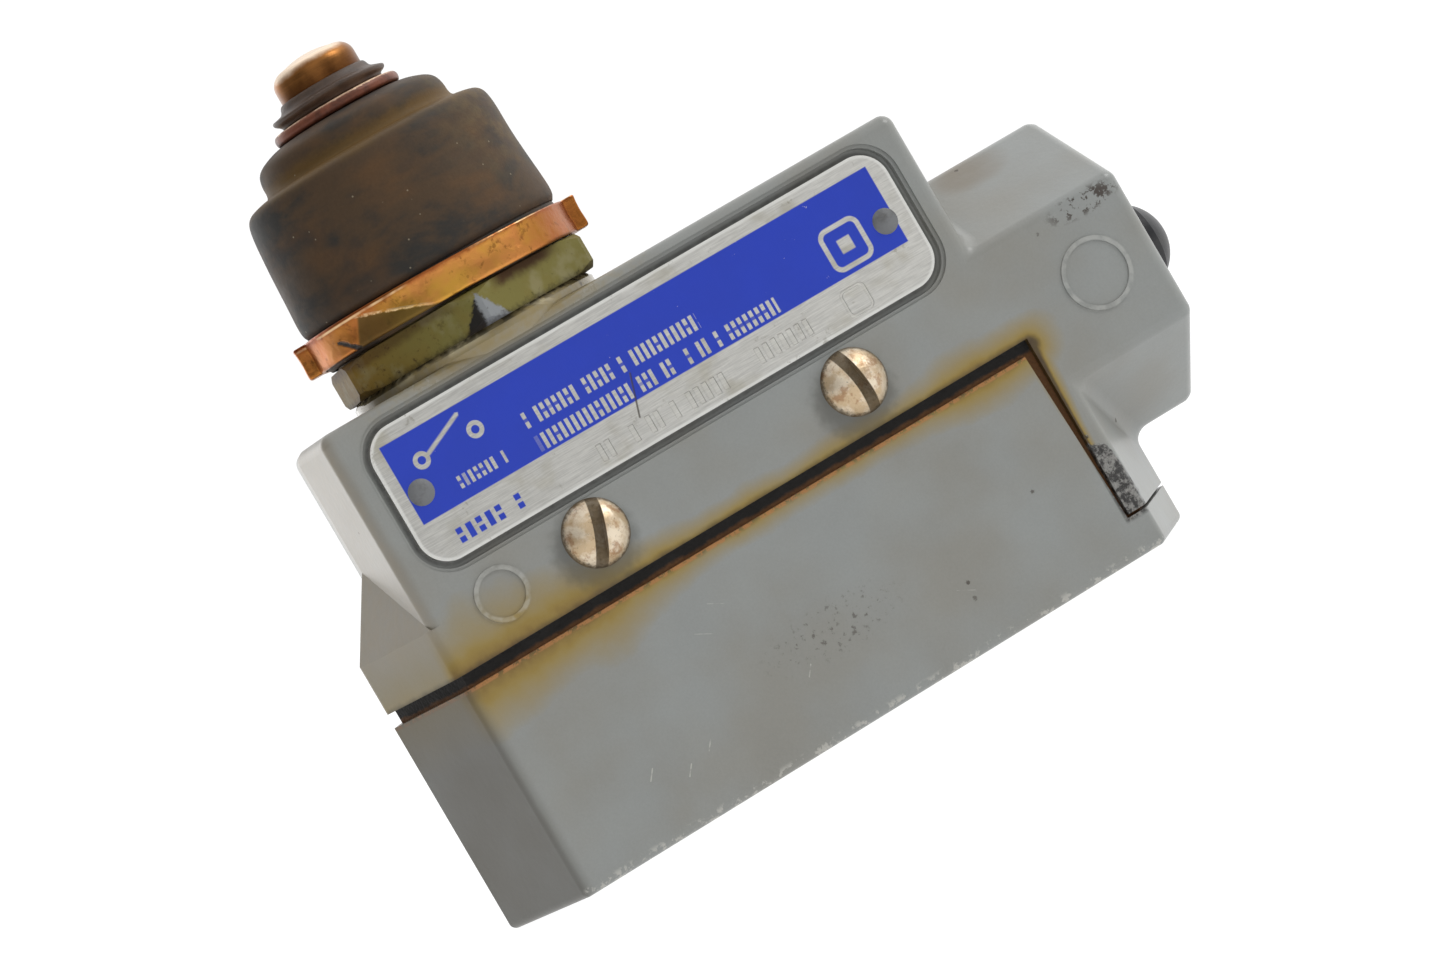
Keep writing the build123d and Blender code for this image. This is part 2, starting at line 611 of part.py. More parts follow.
def make_plunger_ring():
    return tube(plunger_place, waist, plunger_ring_high - plunger_ring_thickness, plunger_ring_high,
                plunger_ring_radius, plunger_radius - plunger_ring_groove)


def make_inner_plunger():
    tip = 0.4
    return on_plunger_axis([(0, inner_end), (inner_stem_radius - tip, inner_end),
                            (inner_stem_radius, inner_end + tip),
                            (inner_stem_radius, inner_head_low), (inner_head_radius, inner_head_low),
                            (inner_head_radius, inner_head_low + inner_head_height),
                            (0, inner_head_low + inner_head_height)])


def make_inner_clip():
    return tube(plunger_place, waist, inner_clip_low, inner_clip_low + inner_clip_thickness,
                inner_clip_radius, inner_clip_hole)


# ---- basic switch ----------------------------------------------------------------------------------------
def strap(x, pole, z0, z1):
    """The upright part of a contact strap, at x and on one pole's line."""
    return block(x, x + strap_thickness, pole - strap_width / 2, pole + strap_width / 2, z0, z1)


def terminal_pad(x0, x1, pole):
    return block(x0, x1, pole - terminal_width / 2, pole + terminal_width / 2,
                 case_low - terminal_thickness, case_low)


def make_case():
    body = block(case_left, case_right, case_front, case_back, case_low, lid_low)
    body = fillet(body.edges().filter_by(Axis.Z), 1.0)
    hollow = block(case_left + case_wall, case_right - case_wall, case_front + case_wall,
                   case_back - case_wall, case_base_top, case_high)
    for x in case_rivet_places:
        hollow -= post(x, waist, case_base_top - 1, case_high + 1, case_pillar_radius)
    body -= hollow
    body += block(case_left + 1, case_right - 1, waist - barrier_width / 2, waist + barrier_width / 2,
                  case_low - barrier_drop, case_low + 1)
    for x, z in switch_screw_places:
        body -= pin(x, z, 0, body_depth, switch_screw_radius + switch_hole_clearance)
    for pole in poles:
        for x in (closed_strap_x, open_strap_x, common_strap_x):
            body -= strap(x, pole, case_low - 1, case_base_top + 1)
        for x in terminal_screw_places:
            body -= post(x, pole, case_low - 1, case_low + terminal_screw_reach, terminal_screw_radius)
    for x in case_rivet_places:
        body -= post(x, waist, case_low - barrier_drop - 1, case_high, case_rivet_radius)
        body -= post(x, waist, case_low - barrier_drop - 1, case_low + case_rivet_head_height,
                     case_rivet_head_radius)
    return body


def make_case_lid():
    lid = block(case_left, case_right, case_front, case_back, lid_low, case_high)
    lid = fillet(lid.edges().filter_by(Axis.Z), 1.0)
    lid -= post(plunger_place, waist, lid_low - 1, case_high + 1, button_radius + running_clearance)
    for x in case_rivet_places:
        lid -= post(x, waist, lid_low - 1, case_high + 1, case_rivet_radius)
    return lid


def make_case_rivets():
    group = []
    for x in case_rivet_places:
        rivet = post(x, waist, case_low, case_high, case_rivet_radius)
        rivet += post(x, waist, case_high, case_high + case_rivet_head_height, case_rivet_head_radius)
        rivet += post(x, waist, case_low, case_low + case_rivet_head_height, case_rivet_head_radius)
        group.append(rivet)
    return group


def make_button():
    """The pin button, with a cross bar that reaches over both poles' blades."""
    bar_low = blade_top + contact_gap
    stem = post(plunger_place, waist, bar_low, case_high + button_rise, button_radius)
    bar = block(plunger_place - button_bar_width / 2, plunger_place + button_bar_width / 2,
                waist - button_bar_length / 2, waist + button_bar_length / 2,
                bar_low, bar_low + button_bar_height)
    return stem + bar


def make_blades():
    """One spring blade for each pole, from its rolled root at the right to its contact at the left."""
    group = []
    for pole in poles:
        front, back = pole - blade_width / 2, pole + blade_width / 2
        strip = block(blade_tip - contact_radius, blade_pivot, front, back, blade_under, blade_top)
        group.append(strip + pin(blade_pivot, blade_height, front, back, blade_root_radius))
    return group


def make_moving_contacts():
    """A silver button on each face of each blade's tip."""
    group = []
    for pole in poles:
        group.append(post(blade_tip, pole, blade_top, blade_top + contact_thickness, contact_radius))
        group.append(post(blade_tip, pole, blade_under - contact_thickness, blade_under, contact_radius))
    return group


def make_closed_straps():
    """Strap, pad and contact above each blade, which it touches at rest."""
    group = []
    contact_high = closed_contact_low + contact_thickness
    for pole in poles:
        piece = strap(closed_strap_x, pole, case_low, contact_high + strap_thickness)
        piece += block(closed_strap_x, blade_tip + contact_radius + 0.3,
                       pole - strap_width / 2, pole + strap_width / 2,
                       contact_high, contact_high + strap_thickness)
        piece += post(blade_tip, pole, closed_contact_low, contact_high, contact_radius)
        piece += terminal_pad(*closed_pad, pole)
        piece -= post(terminal_screw_places[0], pole, case_low - 2, case_low, terminal_screw_radius)
        group.append(piece)
    return group


def make_open_straps():
    """Strap, pad and contact below each blade, which it touches when the plunger is pressed."""
    group = []
    contact_low = open_contact_high - contact_thickness
    for pole in poles:
        piece = block(blade_tip - contact_radius, open_strap_x + strap_thickness, pole - strap_width / 2,
                      pole + strap_width / 2, contact_low - strap_thickness, contact_low)
        piece += strap(open_strap_x, pole, case_low, contact_low)
        piece += post(blade_tip, pole, contact_low, open_contact_high, contact_radius)
        piece += terminal_pad(*open_pad, pole)
        piece -= post(terminal_screw_places[1], pole, case_low - 2, case_low, terminal_screw_radius)
        group.append(piece)
    return group


def make_common_straps():
    """Strap and pad behind each blade's root, with a grooved lip that the root turns in."""
    group = []
    for pole in poles:
        front, back = pole - strap_width / 2, pole + strap_width / 2
        piece = strap(common_strap_x, pole, case_low, blade_top)
        piece += block(blade_pivot + contact_gap, common_strap_x, front, back,
                       blade_under - strap_thickness, blade_top)
        piece -= pin(blade_pivot, blade_height, front - 1, back + 1, blade_root_radius + contact_gap)
        piece += terminal_pad(*common_pad, pole)
        piece -= post(terminal_screw_places[2], pole, case_low - 2, case_low, terminal_screw_radius)
        group.append(piece)
    return group


def make_terminal_screws():
    """Binding screws that point up into the base, one under each pad."""
    group = []
    seat = case_low - terminal_thickness
    for pole in poles:
        for x in terminal_screw_places:
            head = round_head(terminal_screw_head_radius, terminal_screw_head_height, 45)
            screw = Pos(x, pole, seat) * Rot(180, 0, 0) * head
            shank = post(x, pole, seat, case_low + terminal_screw_reach, terminal_screw_radius)
            group.append(screw + shank)
    return group


# ---- conduit plug ----------------------------------------------------------------------------------------
def make_plug():
    """A hollow plug with a thin rim let into the hub's end and a domed knob to turn it by."""
    radius, rim = conduit_radius - plug_clearance, conduit_recess_radius - plug_clearance
    knob_base = plug_knob_length - plug_knob_dome
    shape = post(0, 0, -plug_length, 0, radius)
    shape -= post(0, 0, -plug_length - 1, -plug_wall, radius - plug_wall)
    shape += post(0, 0, -conduit_recess_depth, 0, rim)
    shape += post(0, 0, 0, knob_base, plug_knob_radius)
    shape += Pos(0, 0, knob_base) * dome(plug_knob_radius, plug_knob_dome)
    return Pos(hub_end, waist, conduit_height) * Rot(0, 90, 0) * shape


stud = (plunger_place, waist)
nodes = {
    "housing": make_housing(),
    "cover": make_cover(),
    "cover_gasket": make_gasket(),
    "cover_screw_long": make_cover_screw(cover_screw_left, parting + cover_thread_depth - 0.5),
    "cover_screw_short": make_cover_screw(cover_screw_right, leg_low + cover_thread_depth - 0.5),
    "insulating_liner": make_liner(),
    "nameplate": make_nameplate(),
    "nameplate_rivets": make_rivets(),
    "switch_mounting_screws": make_switch_screws(),
    "plunger_bushing": make_bushing(),
    "bushing_seal": make_bushing_seal(),
    "boot": make_boot(),
    "boot_clamp": make_band(),
    "boot_top_ring": tube(*stud, boot_top, seal_low, top_ring_radius, plunger_radius),
    "plunger_wiper": tube(*stud, seal_low, seal_low + top_seal_height, top_seal_radius, plunger_radius),
    "plunger": make_plunger(),
    "plunger_retaining_ring": make_plunger_ring(),
    "spring_seat": tube(*stud, seat_low, seat_low + seat_height, seat_radius, plunger_radius),
    "return_spring": coil(return_spring_radius, return_spring_wire, spring_pocket_floor, seat_low,
                          return_spring_turns, *stud),
    "overtravel_spring": coil(over_spring_radius, over_spring_wire, inner_head_low + inner_head_height,
                              plunger_bore_top, over_spring_turns, *stud),
    "inner_plunger": make_inner_plunger(),
    "inner_plunger_clip": make_inner_clip(),
    "switch_case": make_case(),
    "switch_case_lid": make_case_lid(),
    "switch_case_rivets": make_case_rivets(),
    "switch_button": make_button(),
    "contact_blades": make_blades(),
    "moving_contacts": make_moving_contacts(),
    "normally_closed_terminals": make_closed_straps(),
    "normally_open_terminals": make_open_straps(),
    "common_terminals": make_common_straps(),
    "terminal_screws": make_terminal_screws(),
    "conduit_plug": make_plug(),
}

os.makedirs("parts", exist_ok=True)
to_origin = Pos(-origin[0], -origin[1], -origin[2])
for name, shape in nodes.items():
    pieces = shape if isinstance(shape, list) else [shape]
    solids = [solid for piece in pieces for solid in (to_origin * piece).solids()]
    export_step(Compound(children=solids), f"parts/{name}.step")
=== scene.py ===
import math
import bpy
import numpy as np
from mathutils import Matrix, Vector


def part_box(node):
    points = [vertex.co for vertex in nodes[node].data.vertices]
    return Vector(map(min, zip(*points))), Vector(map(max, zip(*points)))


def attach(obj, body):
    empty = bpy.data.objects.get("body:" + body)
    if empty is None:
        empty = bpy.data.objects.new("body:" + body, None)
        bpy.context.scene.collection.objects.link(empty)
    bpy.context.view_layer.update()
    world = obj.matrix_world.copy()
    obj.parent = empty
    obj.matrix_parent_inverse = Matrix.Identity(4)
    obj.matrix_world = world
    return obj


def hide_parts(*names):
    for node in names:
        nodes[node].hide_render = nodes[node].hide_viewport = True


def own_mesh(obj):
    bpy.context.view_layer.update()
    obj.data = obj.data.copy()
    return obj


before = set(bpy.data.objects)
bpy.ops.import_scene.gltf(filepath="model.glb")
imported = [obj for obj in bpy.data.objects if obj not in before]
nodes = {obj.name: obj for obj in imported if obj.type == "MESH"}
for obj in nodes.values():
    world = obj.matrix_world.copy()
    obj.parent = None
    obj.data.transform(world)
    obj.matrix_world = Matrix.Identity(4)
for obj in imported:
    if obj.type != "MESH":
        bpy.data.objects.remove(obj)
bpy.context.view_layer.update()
mm = 0.001

# Places are told in millimetres from the corner where the front face, its left edge and the underside meet.
hubLength = 79.9
cornerPoint = Vector((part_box("housing")[1].x - hubLength * mm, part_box("cover")[0].y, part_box("cover")[0].z))
plungerPlace = (20.1, 12.2)


def fromCorner(x, y, z):
    return cornerPoint + Vector((x, y, z)) * mm


def colour(code):
    # a web colour as a linear colour: ((c + 0.055) / 1.055) to the power 2.4
    parts = [int(code[i:i + 2], 16) / 255 for i in (0, 2, 4)]
    return tuple(c / 12.92 if c <= 0.04045 else ((c + 0.055) / 1.055) ** 2.4 for c in parts) + (1.0,)


class Wire:
    # one value, colour or vector inside a material; arithmetic on it adds Math nodes
    def __init__(self, surface, socket):
        self.surface, self.socket = surface, socket

    def math(self, operation, *others):
        return self.surface.node("ShaderNodeMath", {"operation": operation}, dict(enumerate([self, *others])))

    def __add__(self, other):
        return self.math("ADD", other)

    def __sub__(self, other):
        return self.math("SUBTRACT", other)

    def __rsub__(self, other):
        return self.surface.node("ShaderNodeMath", {"operation": "SUBTRACT"}, {0: other, 1: self})

    def __mul__(self, other):
        return self.math("MULTIPLY", other)

    def __truediv__(self, other):
        return self.math("DIVIDE", other)

    def __pow__(self, other):
        return self.math("POWER", other)

    def __neg__(self):
        return self * -1.0

    __radd__, __rmul__ = __add__, __mul__

    def least(self, other):
        return self.math("MINIMUM", other)

    def most(self, other):
        return self.math("MAXIMUM", other)

    def size(self):
        return self.math("ABSOLUTE")

    def root(self):
        return self.math("SQRT")

    def rise(self, low, high):
        # 0 below low, 1 above high, with a smooth step between; it falls instead when low is the higher
        up = low < high
        return self.surface.node("ShaderNodeMapRange", {"interpolation_type": "SMOOTHSTEP", "clamp": True},
                                 {"Value": self, "From Min": min(low, high), "From Max": max(low, high),
                                  "To Min": 0.0 if up else 1.0, "To Max": 1.0 if up else 0.0})


class Surface:
    # a material whose pattern is laid out in millimetres from the corner point
    def __init__(self, name, **constants):
        self.material = bpy.data.materials.new(name)
        self.material.use_nodes = True
        self.tree = self.material.node_tree
        self.tree.nodes.clear()
        self.shader = self.tree.nodes.new("ShaderNodeBsdfPrincipled")
        output = self.tree.nodes.new("ShaderNodeOutputMaterial")
        self.tree.links.new(self.shader.outputs[0], output.inputs[0])
        for key, value in constants.items():
            self.shader.inputs[key.replace("_", " ")].default_value = value
        texture = self.node("ShaderNodeTexCoord", out="Object")
        shifted = self.vector("SUBTRACT", texture, tuple(cornerPoint))
        self.place = self.node("ShaderNodeVectorMath", {"operation": "SCALE"}, {0: shifted, "Scale": 1 / mm})
        self.x, self.y, self.z = (self.node("ShaderNodeSeparateXYZ", {}, {0: self.place}, i) for i in range(3))

    def node(self, kind, settings=None, inputs=None, out=0):
        made = self.tree.nodes.new(kind)
        for key, value in (settings or {}).items():
            setattr(made, key, value)
        for key, value in (inputs or {}).items():
            if isinstance(value, Wire):
                self.tree.links.new(value.socket, made.inputs[key])
            else:
                made.inputs[key].default_value = value
        return Wire(self, made.outputs[out])

    def vector(self, operation, a, b):
        return self.node("ShaderNodeVectorMath", {"operation": operation}, {0: a, 1: b})

    def mix(self, a, b, factor):
        a, b = (colour(c) if isinstance(c, str) else c for c in (a, b))
        return self.node("ShaderNodeMix", {"data_type": "RGBA"}, {0: factor, 6: a, 7: b}, 2)

    def shade(self, base, value):
        # the colour times a value
        base = base if isinstance(base, Wire) else base[:3]
        return self.node("ShaderNodeVectorMath", {"operation": "SCALE"}, {0: base, "Scale": value})

    def noise(self, perMm, detail=3.0, rough=0.5, stretch=(1, 1, 1), shift=0.0, warp=0.0):
        # cloudy noise with about perMm clouds to the millimetre, drawn out along an axis by a small stretch
        scaled = self.vector("MULTIPLY", self.place, tuple(perMm * s for s in stretch))
        moved = self.vector("ADD", scaled, (shift, shift * 1.7, shift * 0.6))
        return self.node("ShaderNodeTexNoise", {}, {"Vector": moved, "Scale": 1.0, "Detail": detail,
                                                    "Roughness": rough, "Distortion": warp})

    def cells(self, perMm, shift=0.0):
        # distance in millimetres from the nearest of many scattered points, and a random number for that point
        scaled = self.vector("MULTIPLY", self.place, (perMm, perMm, perMm))
        moved = self.vector("ADD", scaled, (shift, shift * 1.3, shift * 0.7))
        near = self.node("ShaderNodeTexVoronoi", {}, {"Vector": moved, "Scale": 1.0})
        tint = Wire(self, near.socket.node.outputs["Color"])
        return near / perMm, self.node("ShaderNodeSeparateColor", {}, {0: tint})

    def bump(self, height, strength=1.0):
        # a height in millimetres becomes a normal
        return self.node("ShaderNodeBump", {}, {"Strength": strength, "Distance": mm, "Height": height})

    def away(self, u, v, place):
        # distance of (u, v) from a place
        return ((u - place[0]) ** 2.0 + (v - place[1]) ** 2.0).root()

    def oval(self, u, v, place, half):
        # ((u - place) / half) squared, summed over both coordinates: 0 in the middle, 1 on the ellipse
        return ((u - place[0]) / half[0]) ** 2.0 + ((v - place[1]) / half[1]) ** 2.0

    def outline(self, u, v, place, half, corner):
        # distance outside a rounded rectangle: length of most(q, 0), plus least(most(qu, qv), 0), less the corner
        qu = (u - place[0]).size() - (half[0] - corner)
        qv = (v - place[1]).size() - (half[1] - corner)
        return (qu.most(0.0) ** 2.0 + qv.most(0.0) ** 2.0).root() + qu.most(qv).least(0.0) - corner

    def box(self, u, v, place, half, soft=0.08):
        # 1 inside a rectangle of two coordinates, fading over soft
        a = ((u - place[0]).size()).rise(half[0] + soft, half[0] - soft)
        return a * ((v - place[1]).size()).rise(half[1] + soft, half[1] - soft)

    def feed(self, **wires):
        for key, value in wires.items():
            self.tree.links.new(value.socket, self.shader.inputs[key.replace("_", " ")])
        return self.material


def dress(names, material):
    # the carried-over pieces take this material
    for name in names:
        mesh = nodes[name].data
        mesh.materials.clear()
        mesh.materials.append(material)


# grey enamel on the two castings
enamelLook = dict(
    grey="8b8e8c", warmGrey="85837b", amber="8f7620", brown="5e3c0a", soot="17110c", rust="a8703c", speck="33261c",
    grimeAndShade="2a2824", oil="8a7538", oilHighlight="d9cfae", creviceShade="2c2418", screwShadow="37362f", smudge="6b5a3e", endGlow="9a8d78",
    endShade="4f4b42", padHighlight="c4c4be", hair="bdbcb4", nick="bdbbb3", metal="3c3b3a", metalBright="8d8c88",
    gapHeight=22.6, slitPlace=63.7, slitFoot=3.9, reach=5.8, chipHeight=21.75, chipEnd=63.2,
    recess=((31.7, 39.55), (28.5, 6.95), 3.0), bossTop=49.7, pads=(((7.5, 27.9), 2.45), ((73.1, 25.25), 3.4)),
    screwShadowPlaces=((17.3, 27.2), (46.1, 27.0)), smudgeOval=((70.6, 39.8), (5.0, 2.2)), hubSpecks=((75.5, 31.7), (4.5, 1.3)),
    rubbing=((33.0, 9.5), (9.0, 3.2)), shortHairs=((17.2, 6.2), (14.4, 5.1), (11.0, 6.6), (29.0, 7.2)),
    longHairs=((22.0, 15.2), (24.5, 17.0), (46.0, 6.0)), scrapeLeft=63.0, scrapeRight=66.0, scrapeTop=12.2, gloss=0.33)


def strokes(s, u, v, middles, length, lean, width):
    # hairlines, 1 on a line and 0 off it: distance across the line, plus how far past its end
    found = None
    along, across = (math.cos(lean), math.sin(lean)), (-math.sin(lean), math.cos(lean))
    for middle in middles:
        du, dv = u - middle[0], v - middle[1]
        off = (du * across[0] + dv * across[1]).size()
        over = ((du * along[0] + dv * along[1]).size() - length / 2).most(0.0)
        line = (off + over).rise(width, width * 0.3)
        found = line if found is None else found.most(line)
    return found


def oilStains(s, base, grain, look):
    # amber, then brown, then soot, by 1 - (distance from the gap) / reach; returns the colour and the stain's strength
    x, y, z = s.x, s.y, s.z
    right, up = x - look["slitPlace"], z - look["gapHeight"]
    level = (right.most(0.0) ** 2.0 + up * up).root()
    below = (look["slitFoot"] - z).most(0.0)
    upright = (right * right + up.most(0.0) ** 2.0 + below ** 2.0).root()
    upright = upright * (10.2 - z.least(look["gapHeight"]) / 2.5)    # less oil crept down the slit
    gap = level.least(upright)
    reach = (0.42 + x.rise(30, 4) * 0.7 + x.rise(46, 60) * 0.2) * (0.55 + s.noise(0.12, 2, shift=9) * 0.95)
    reach = reach * look["reach"]
    stain = (1 - gap / reach + (s.noise(0.35, 3, 0.6, shift=2) - 0.5) * 0.3).most(0.0).least(1.0)
    stain = stain * (0.5 + y.rise(2.0, 0.3) * 0.5)
    base = s.mix(base, look["amber"], (stain * 1.3).least(0.9))
    base = s.mix(base, look["brown"], stain.rise(0.6, 0.95) * (0.2 + grain * 0.8))
    soot = (gap + (s.noise(0.9, 3, shift=5) - 0.5) * 0.5).rise(1.25, 0.45)
    return s.mix(base, look["soot"], soot * 0.7), stain


def enamel(name, look):
    # clouds of grey, amber that fades with distance from the gasket's line, grime in corners, specks, orange peel
    s = Surface(name, Coat_Weight=0.1, Coat_Roughness=0.16)
    x, y, z = s.x, s.y, s.z
    clouds, grain, fine = s.noise(0.07, 3), s.noise(1.1, 3, shift=4), s.noise(5.0, 2, shift=8)
    front = y.rise(2.0, 0.3)
    base = s.mix(look["grey"], look["warmGrey"], clouds.rise(0.35, 0.7) * 0.8)
    base = s.shade(base, 0.86 + fine * 0.12 + s.noise(0.16, 3, shift=19) * 0.14)
    base, stain = oilStains(s, base, grain, look)

    # the cover's top edge has chipped to its primer
    chip = (z - look["chipHeight"]).size().rise(0.3, 0.12) * s.noise(1.6, 4, 0.75, shift=11).rise(0.4, 0.52)
    chip = chip * x.rise(look["chipEnd"] + 0.4, look["chipEnd"] - 0.4)
    base = s.mix(base, look["rust"], chip * 0.75)

    # painted shade and grime in the recess round the nameplate, and oil round the plunger boss
    recessShadeAndGrime = (s.outline(x, z, *look["recess"]) - 0.2).size().rise(0.36, 0.05)
    recessShadeAndGrime = recessShadeAndGrime * y.rise(2.4, 1.6) * (z - 39.5).size().rise(9.0, 8.4)
    base = s.mix(base, look["grimeAndShade"], recessShadeAndGrime * (0.2 + grain * 0.7))
    boss, bossTop = s.away(x, y, plungerPlace), look["bossTop"]
    oil = z.rise(bossTop - 3.1, bossTop - 1.5) * (boss + grain * 8).rise(24, 15)
    base = s.mix(base, look["oil"], oil * 0.75)
    # painted highlight: pale streaks of glinting light on the oily top of the boss
    oilHighlight = s.noise(0.3, 3, stretch=(0.5, 1, 1), shift=12, warp=1.0).rise(0.5, 0.62) * oil
    oilHighlight = oilHighlight * z.rise(bossTop - 1.1, bossTop - 0.3)
    base = s.mix(base, look["oilHighlight"], oilHighlight * 0.5)
    # painted shade, with grime, where the boss meets the hex's foot
    creviceShade = z.rise(bossTop - 0.7, bossTop) * grain.rise(0.4, 0.6) * boss.rise(14, 13)
    base = s.mix(base, look["creviceShade"], creviceShade * 0.8)
    # painted shadows of the two mounting screws, falling down and to the left of each head
    for place in look["screwShadowPlaces"]:
        screwShadow = s.away(x, z, place) + (grain - 0.5) * 1.5
        base = s.mix(base, look["screwShadow"], screwShadow.rise(5.0, 3.0) * front * 0.5)
    smudge = s.oval(x, z, *look["smudgeOval"]).rise(1.0, 0.1)
    base = s.mix(base, look["smudge"], smudge * clouds.rise(0.25, 0.55) * 0.6)

    # the left end has yellowed above the gasket, and below it is darkened with painted shade
    end = x.rise(1.4, -0.4)
    base = s.mix(base, look["endGlow"], end * z.rise(24, 30) * (0.35 + grain * 0.5))
    below = z.rise(look["gapHeight"], look["gapHeight"] - 1.0)
    base = s.mix(base, look["endShade"], end * below * (0.5 + clouds * 0.4))

    # rings cast on the front carry a pale painted highlight; scattered specks, thick near the hub's corner; fine
    # scratches
    for place, radius in look["pads"]:
        ring = (s.away(x, z, place) - radius).size().rise(0.42, 0.1)
        base = s.mix(base, look["padHighlight"], ring * front * grain.rise(0.3, 0.65) * 0.3)
    spot, number = s.cells(0.3, 3.0)
    speck = (spot + (fine - 0.5) * 0.35).rise(0.28, 0.16) * number.rise(0.86, 0.93)
    cluster = s.oval(x, z, *look["hubSpecks"]).rise(1.2, 0.2) * s.noise(0.85, 4, 0.75, shift=21).rise(0.51, 0.57)
    rubbing = s.oval(x, z, *look["rubbing"]).rise(1.0, 0.1) * s.noise(1.6, 4, 0.7, shift=6).rise(0.56, 0.66)
    base = s.mix(base, look["speck"], (speck * 0.75).most(cluster * 0.9).most(rubbing * front * 0.6))
    hairs = strokes(s, x, z, look["shortHairs"], 1.2, 0.9, 0.08)
    hairs = hairs.most(strokes(s, x, z, look["longHairs"], 1.8, -0.5, 0.05) * 0.6)
    base = s.mix(base, look["hair"], hairs * front * grain.rise(0.35, 0.55) * 0.7)

    # nicks along the lower front edge
    low = (y + z).rise(1.1, 0.5) * s.noise(0.9, 4, 0.7, shift=14).rise(0.52, 0.6)
    base = s.mix(base, look["nick"], low * 0.6)

    # the leg's front is scraped to rough bare metal near its foot
    rubble = s.noise(1.8, 4, 0.7, shift=31)
    upper = z + (grain - 0.5) * 5 + (x - look["scrapeLeft"] - 1) * 1.4
    upper = upper.rise(look["scrapeTop"], look["scrapeTop"] - 0.8)
    scraped = (x - look["scrapeLeft"]).rise(0.0, 0.4) * y.rise(1.6, 0.9) * z.rise(3.2, 3.8) * upper
    scraped = scraped * (x + (grain - 0.5) * 1.4).rise(look["scrapeRight"], look["scrapeRight"] - 0.5)
    base = s.mix(base, s.mix(look["metal"], look["metalBright"], rubble.rise(0.42, 0.6)), scraped)

    rough = look["gloss"] + clouds * 0.1 + stain * 0.06 + speck * 0.2 - oil * 0.2
    peel = s.noise(1.5, 2, shift=7) * 0.022 + grain * 0.008 + s.noise(2.0, 4, 0.7, shift=31) * scraped * 0.5
    return s.feed(Base_Color=base, Roughness=rough, Metallic=scraped * 0.5, Normal=s.bump(peel))


def plain(name, shade, rough, metallic=0.0, perMm=1.2, patina="2a241c", amount=0.25, grain=0.01):
    # one colour that drifts with cloudy noise towards a darker patina, with a fine grain
    s = Surface(name, Metallic=metallic)
    clouds, fine = s.noise(perMm * 0.4, 4, 0.6), s.noise(perMm * 4, 3)
    base = s.mix(shade, patina, clouds.rise(0.45, 0.75) * amount)
    base = s.shade(base, 0.9 + fine * 0.2)
    return s.feed(Base_Color=base, Roughness=rough - 0.06 + clouds * 0.12, Normal=s.bump(fine * grain))


# each row of bars: middle of its left end, length, height, pitch, seed of its gaps, how deep the middle cut goes
plateLook = dict(
    metal="c9c8c3", blue="0c33b0", tarnish="5f5330", yellowed="8f8560", rim="f2f2ee", stamp="d2d0c8", gouge="3a3226",
    panel=((31.5, 40.95), (27.0, 4.05)), edge=((31.7, 39.55), (28.5, 6.95), 3.0),
    bareRows=(((17.4, 40.45), 19.3, 1.55, 0.66, 3.0, 0.9), ((17.4, 38.0), 26.8, 1.55, 0.66, 40.0, 0.9),
              ((9.2, 38.6), 5.2, 1.2, 0.6, 90.0, 0.9)),
    inkRow=((5.5, 34.4), 9.5, 1.45, 1.05, 12.0, 0.9),
    stampedRows=(((22.0, 34.35), 14.3, 1.7, 0.9, 61.0, 0.0), ((39.8, 34.7), 6.4, 1.6, 0.9, 77.0, 0.0)),
    terminals=((7.4, 42.1), (13.2, 42.1)), terminalRadius=0.62, lever=((10.2, 43.2),), square=(53.0, 39.6),
    stampedSquare=(51.2, 34.6), scratch=((27.9, 37.4),))


def bars(s, place, length, height, pitch, seed, cut):
    # a row of upright bars with gaps, some cut in half, standing in for wording
    cell = (s.x - place[0]) / pitch
    index = cell.math("FLOOR")
    number = s.node("ShaderNodeTexWhiteNoise", {"noise_dimensions": "1D"}, {"W": index + seed})
    inside = ((cell - index) - 0.5).size().rise(0.33, 0.25)
    row = s.box(s.x, s.z, (place[0] + length / 2, place[1]), (length / 2, height / 2), 0.06)
    notch = (s.z - place[1]).size().rise(0.2, 0.12) * number.rise(0.55, 0.6)
    return row * inside * number.rise(0.14, 0.16) * (1 - notch * cut)


def frameSign(s, place, half, width):
    # the outline of a rounded square
    return s.outline(s.x, s.z, place, (half, half), half * 0.4).size().rise(width, width * 0.6)


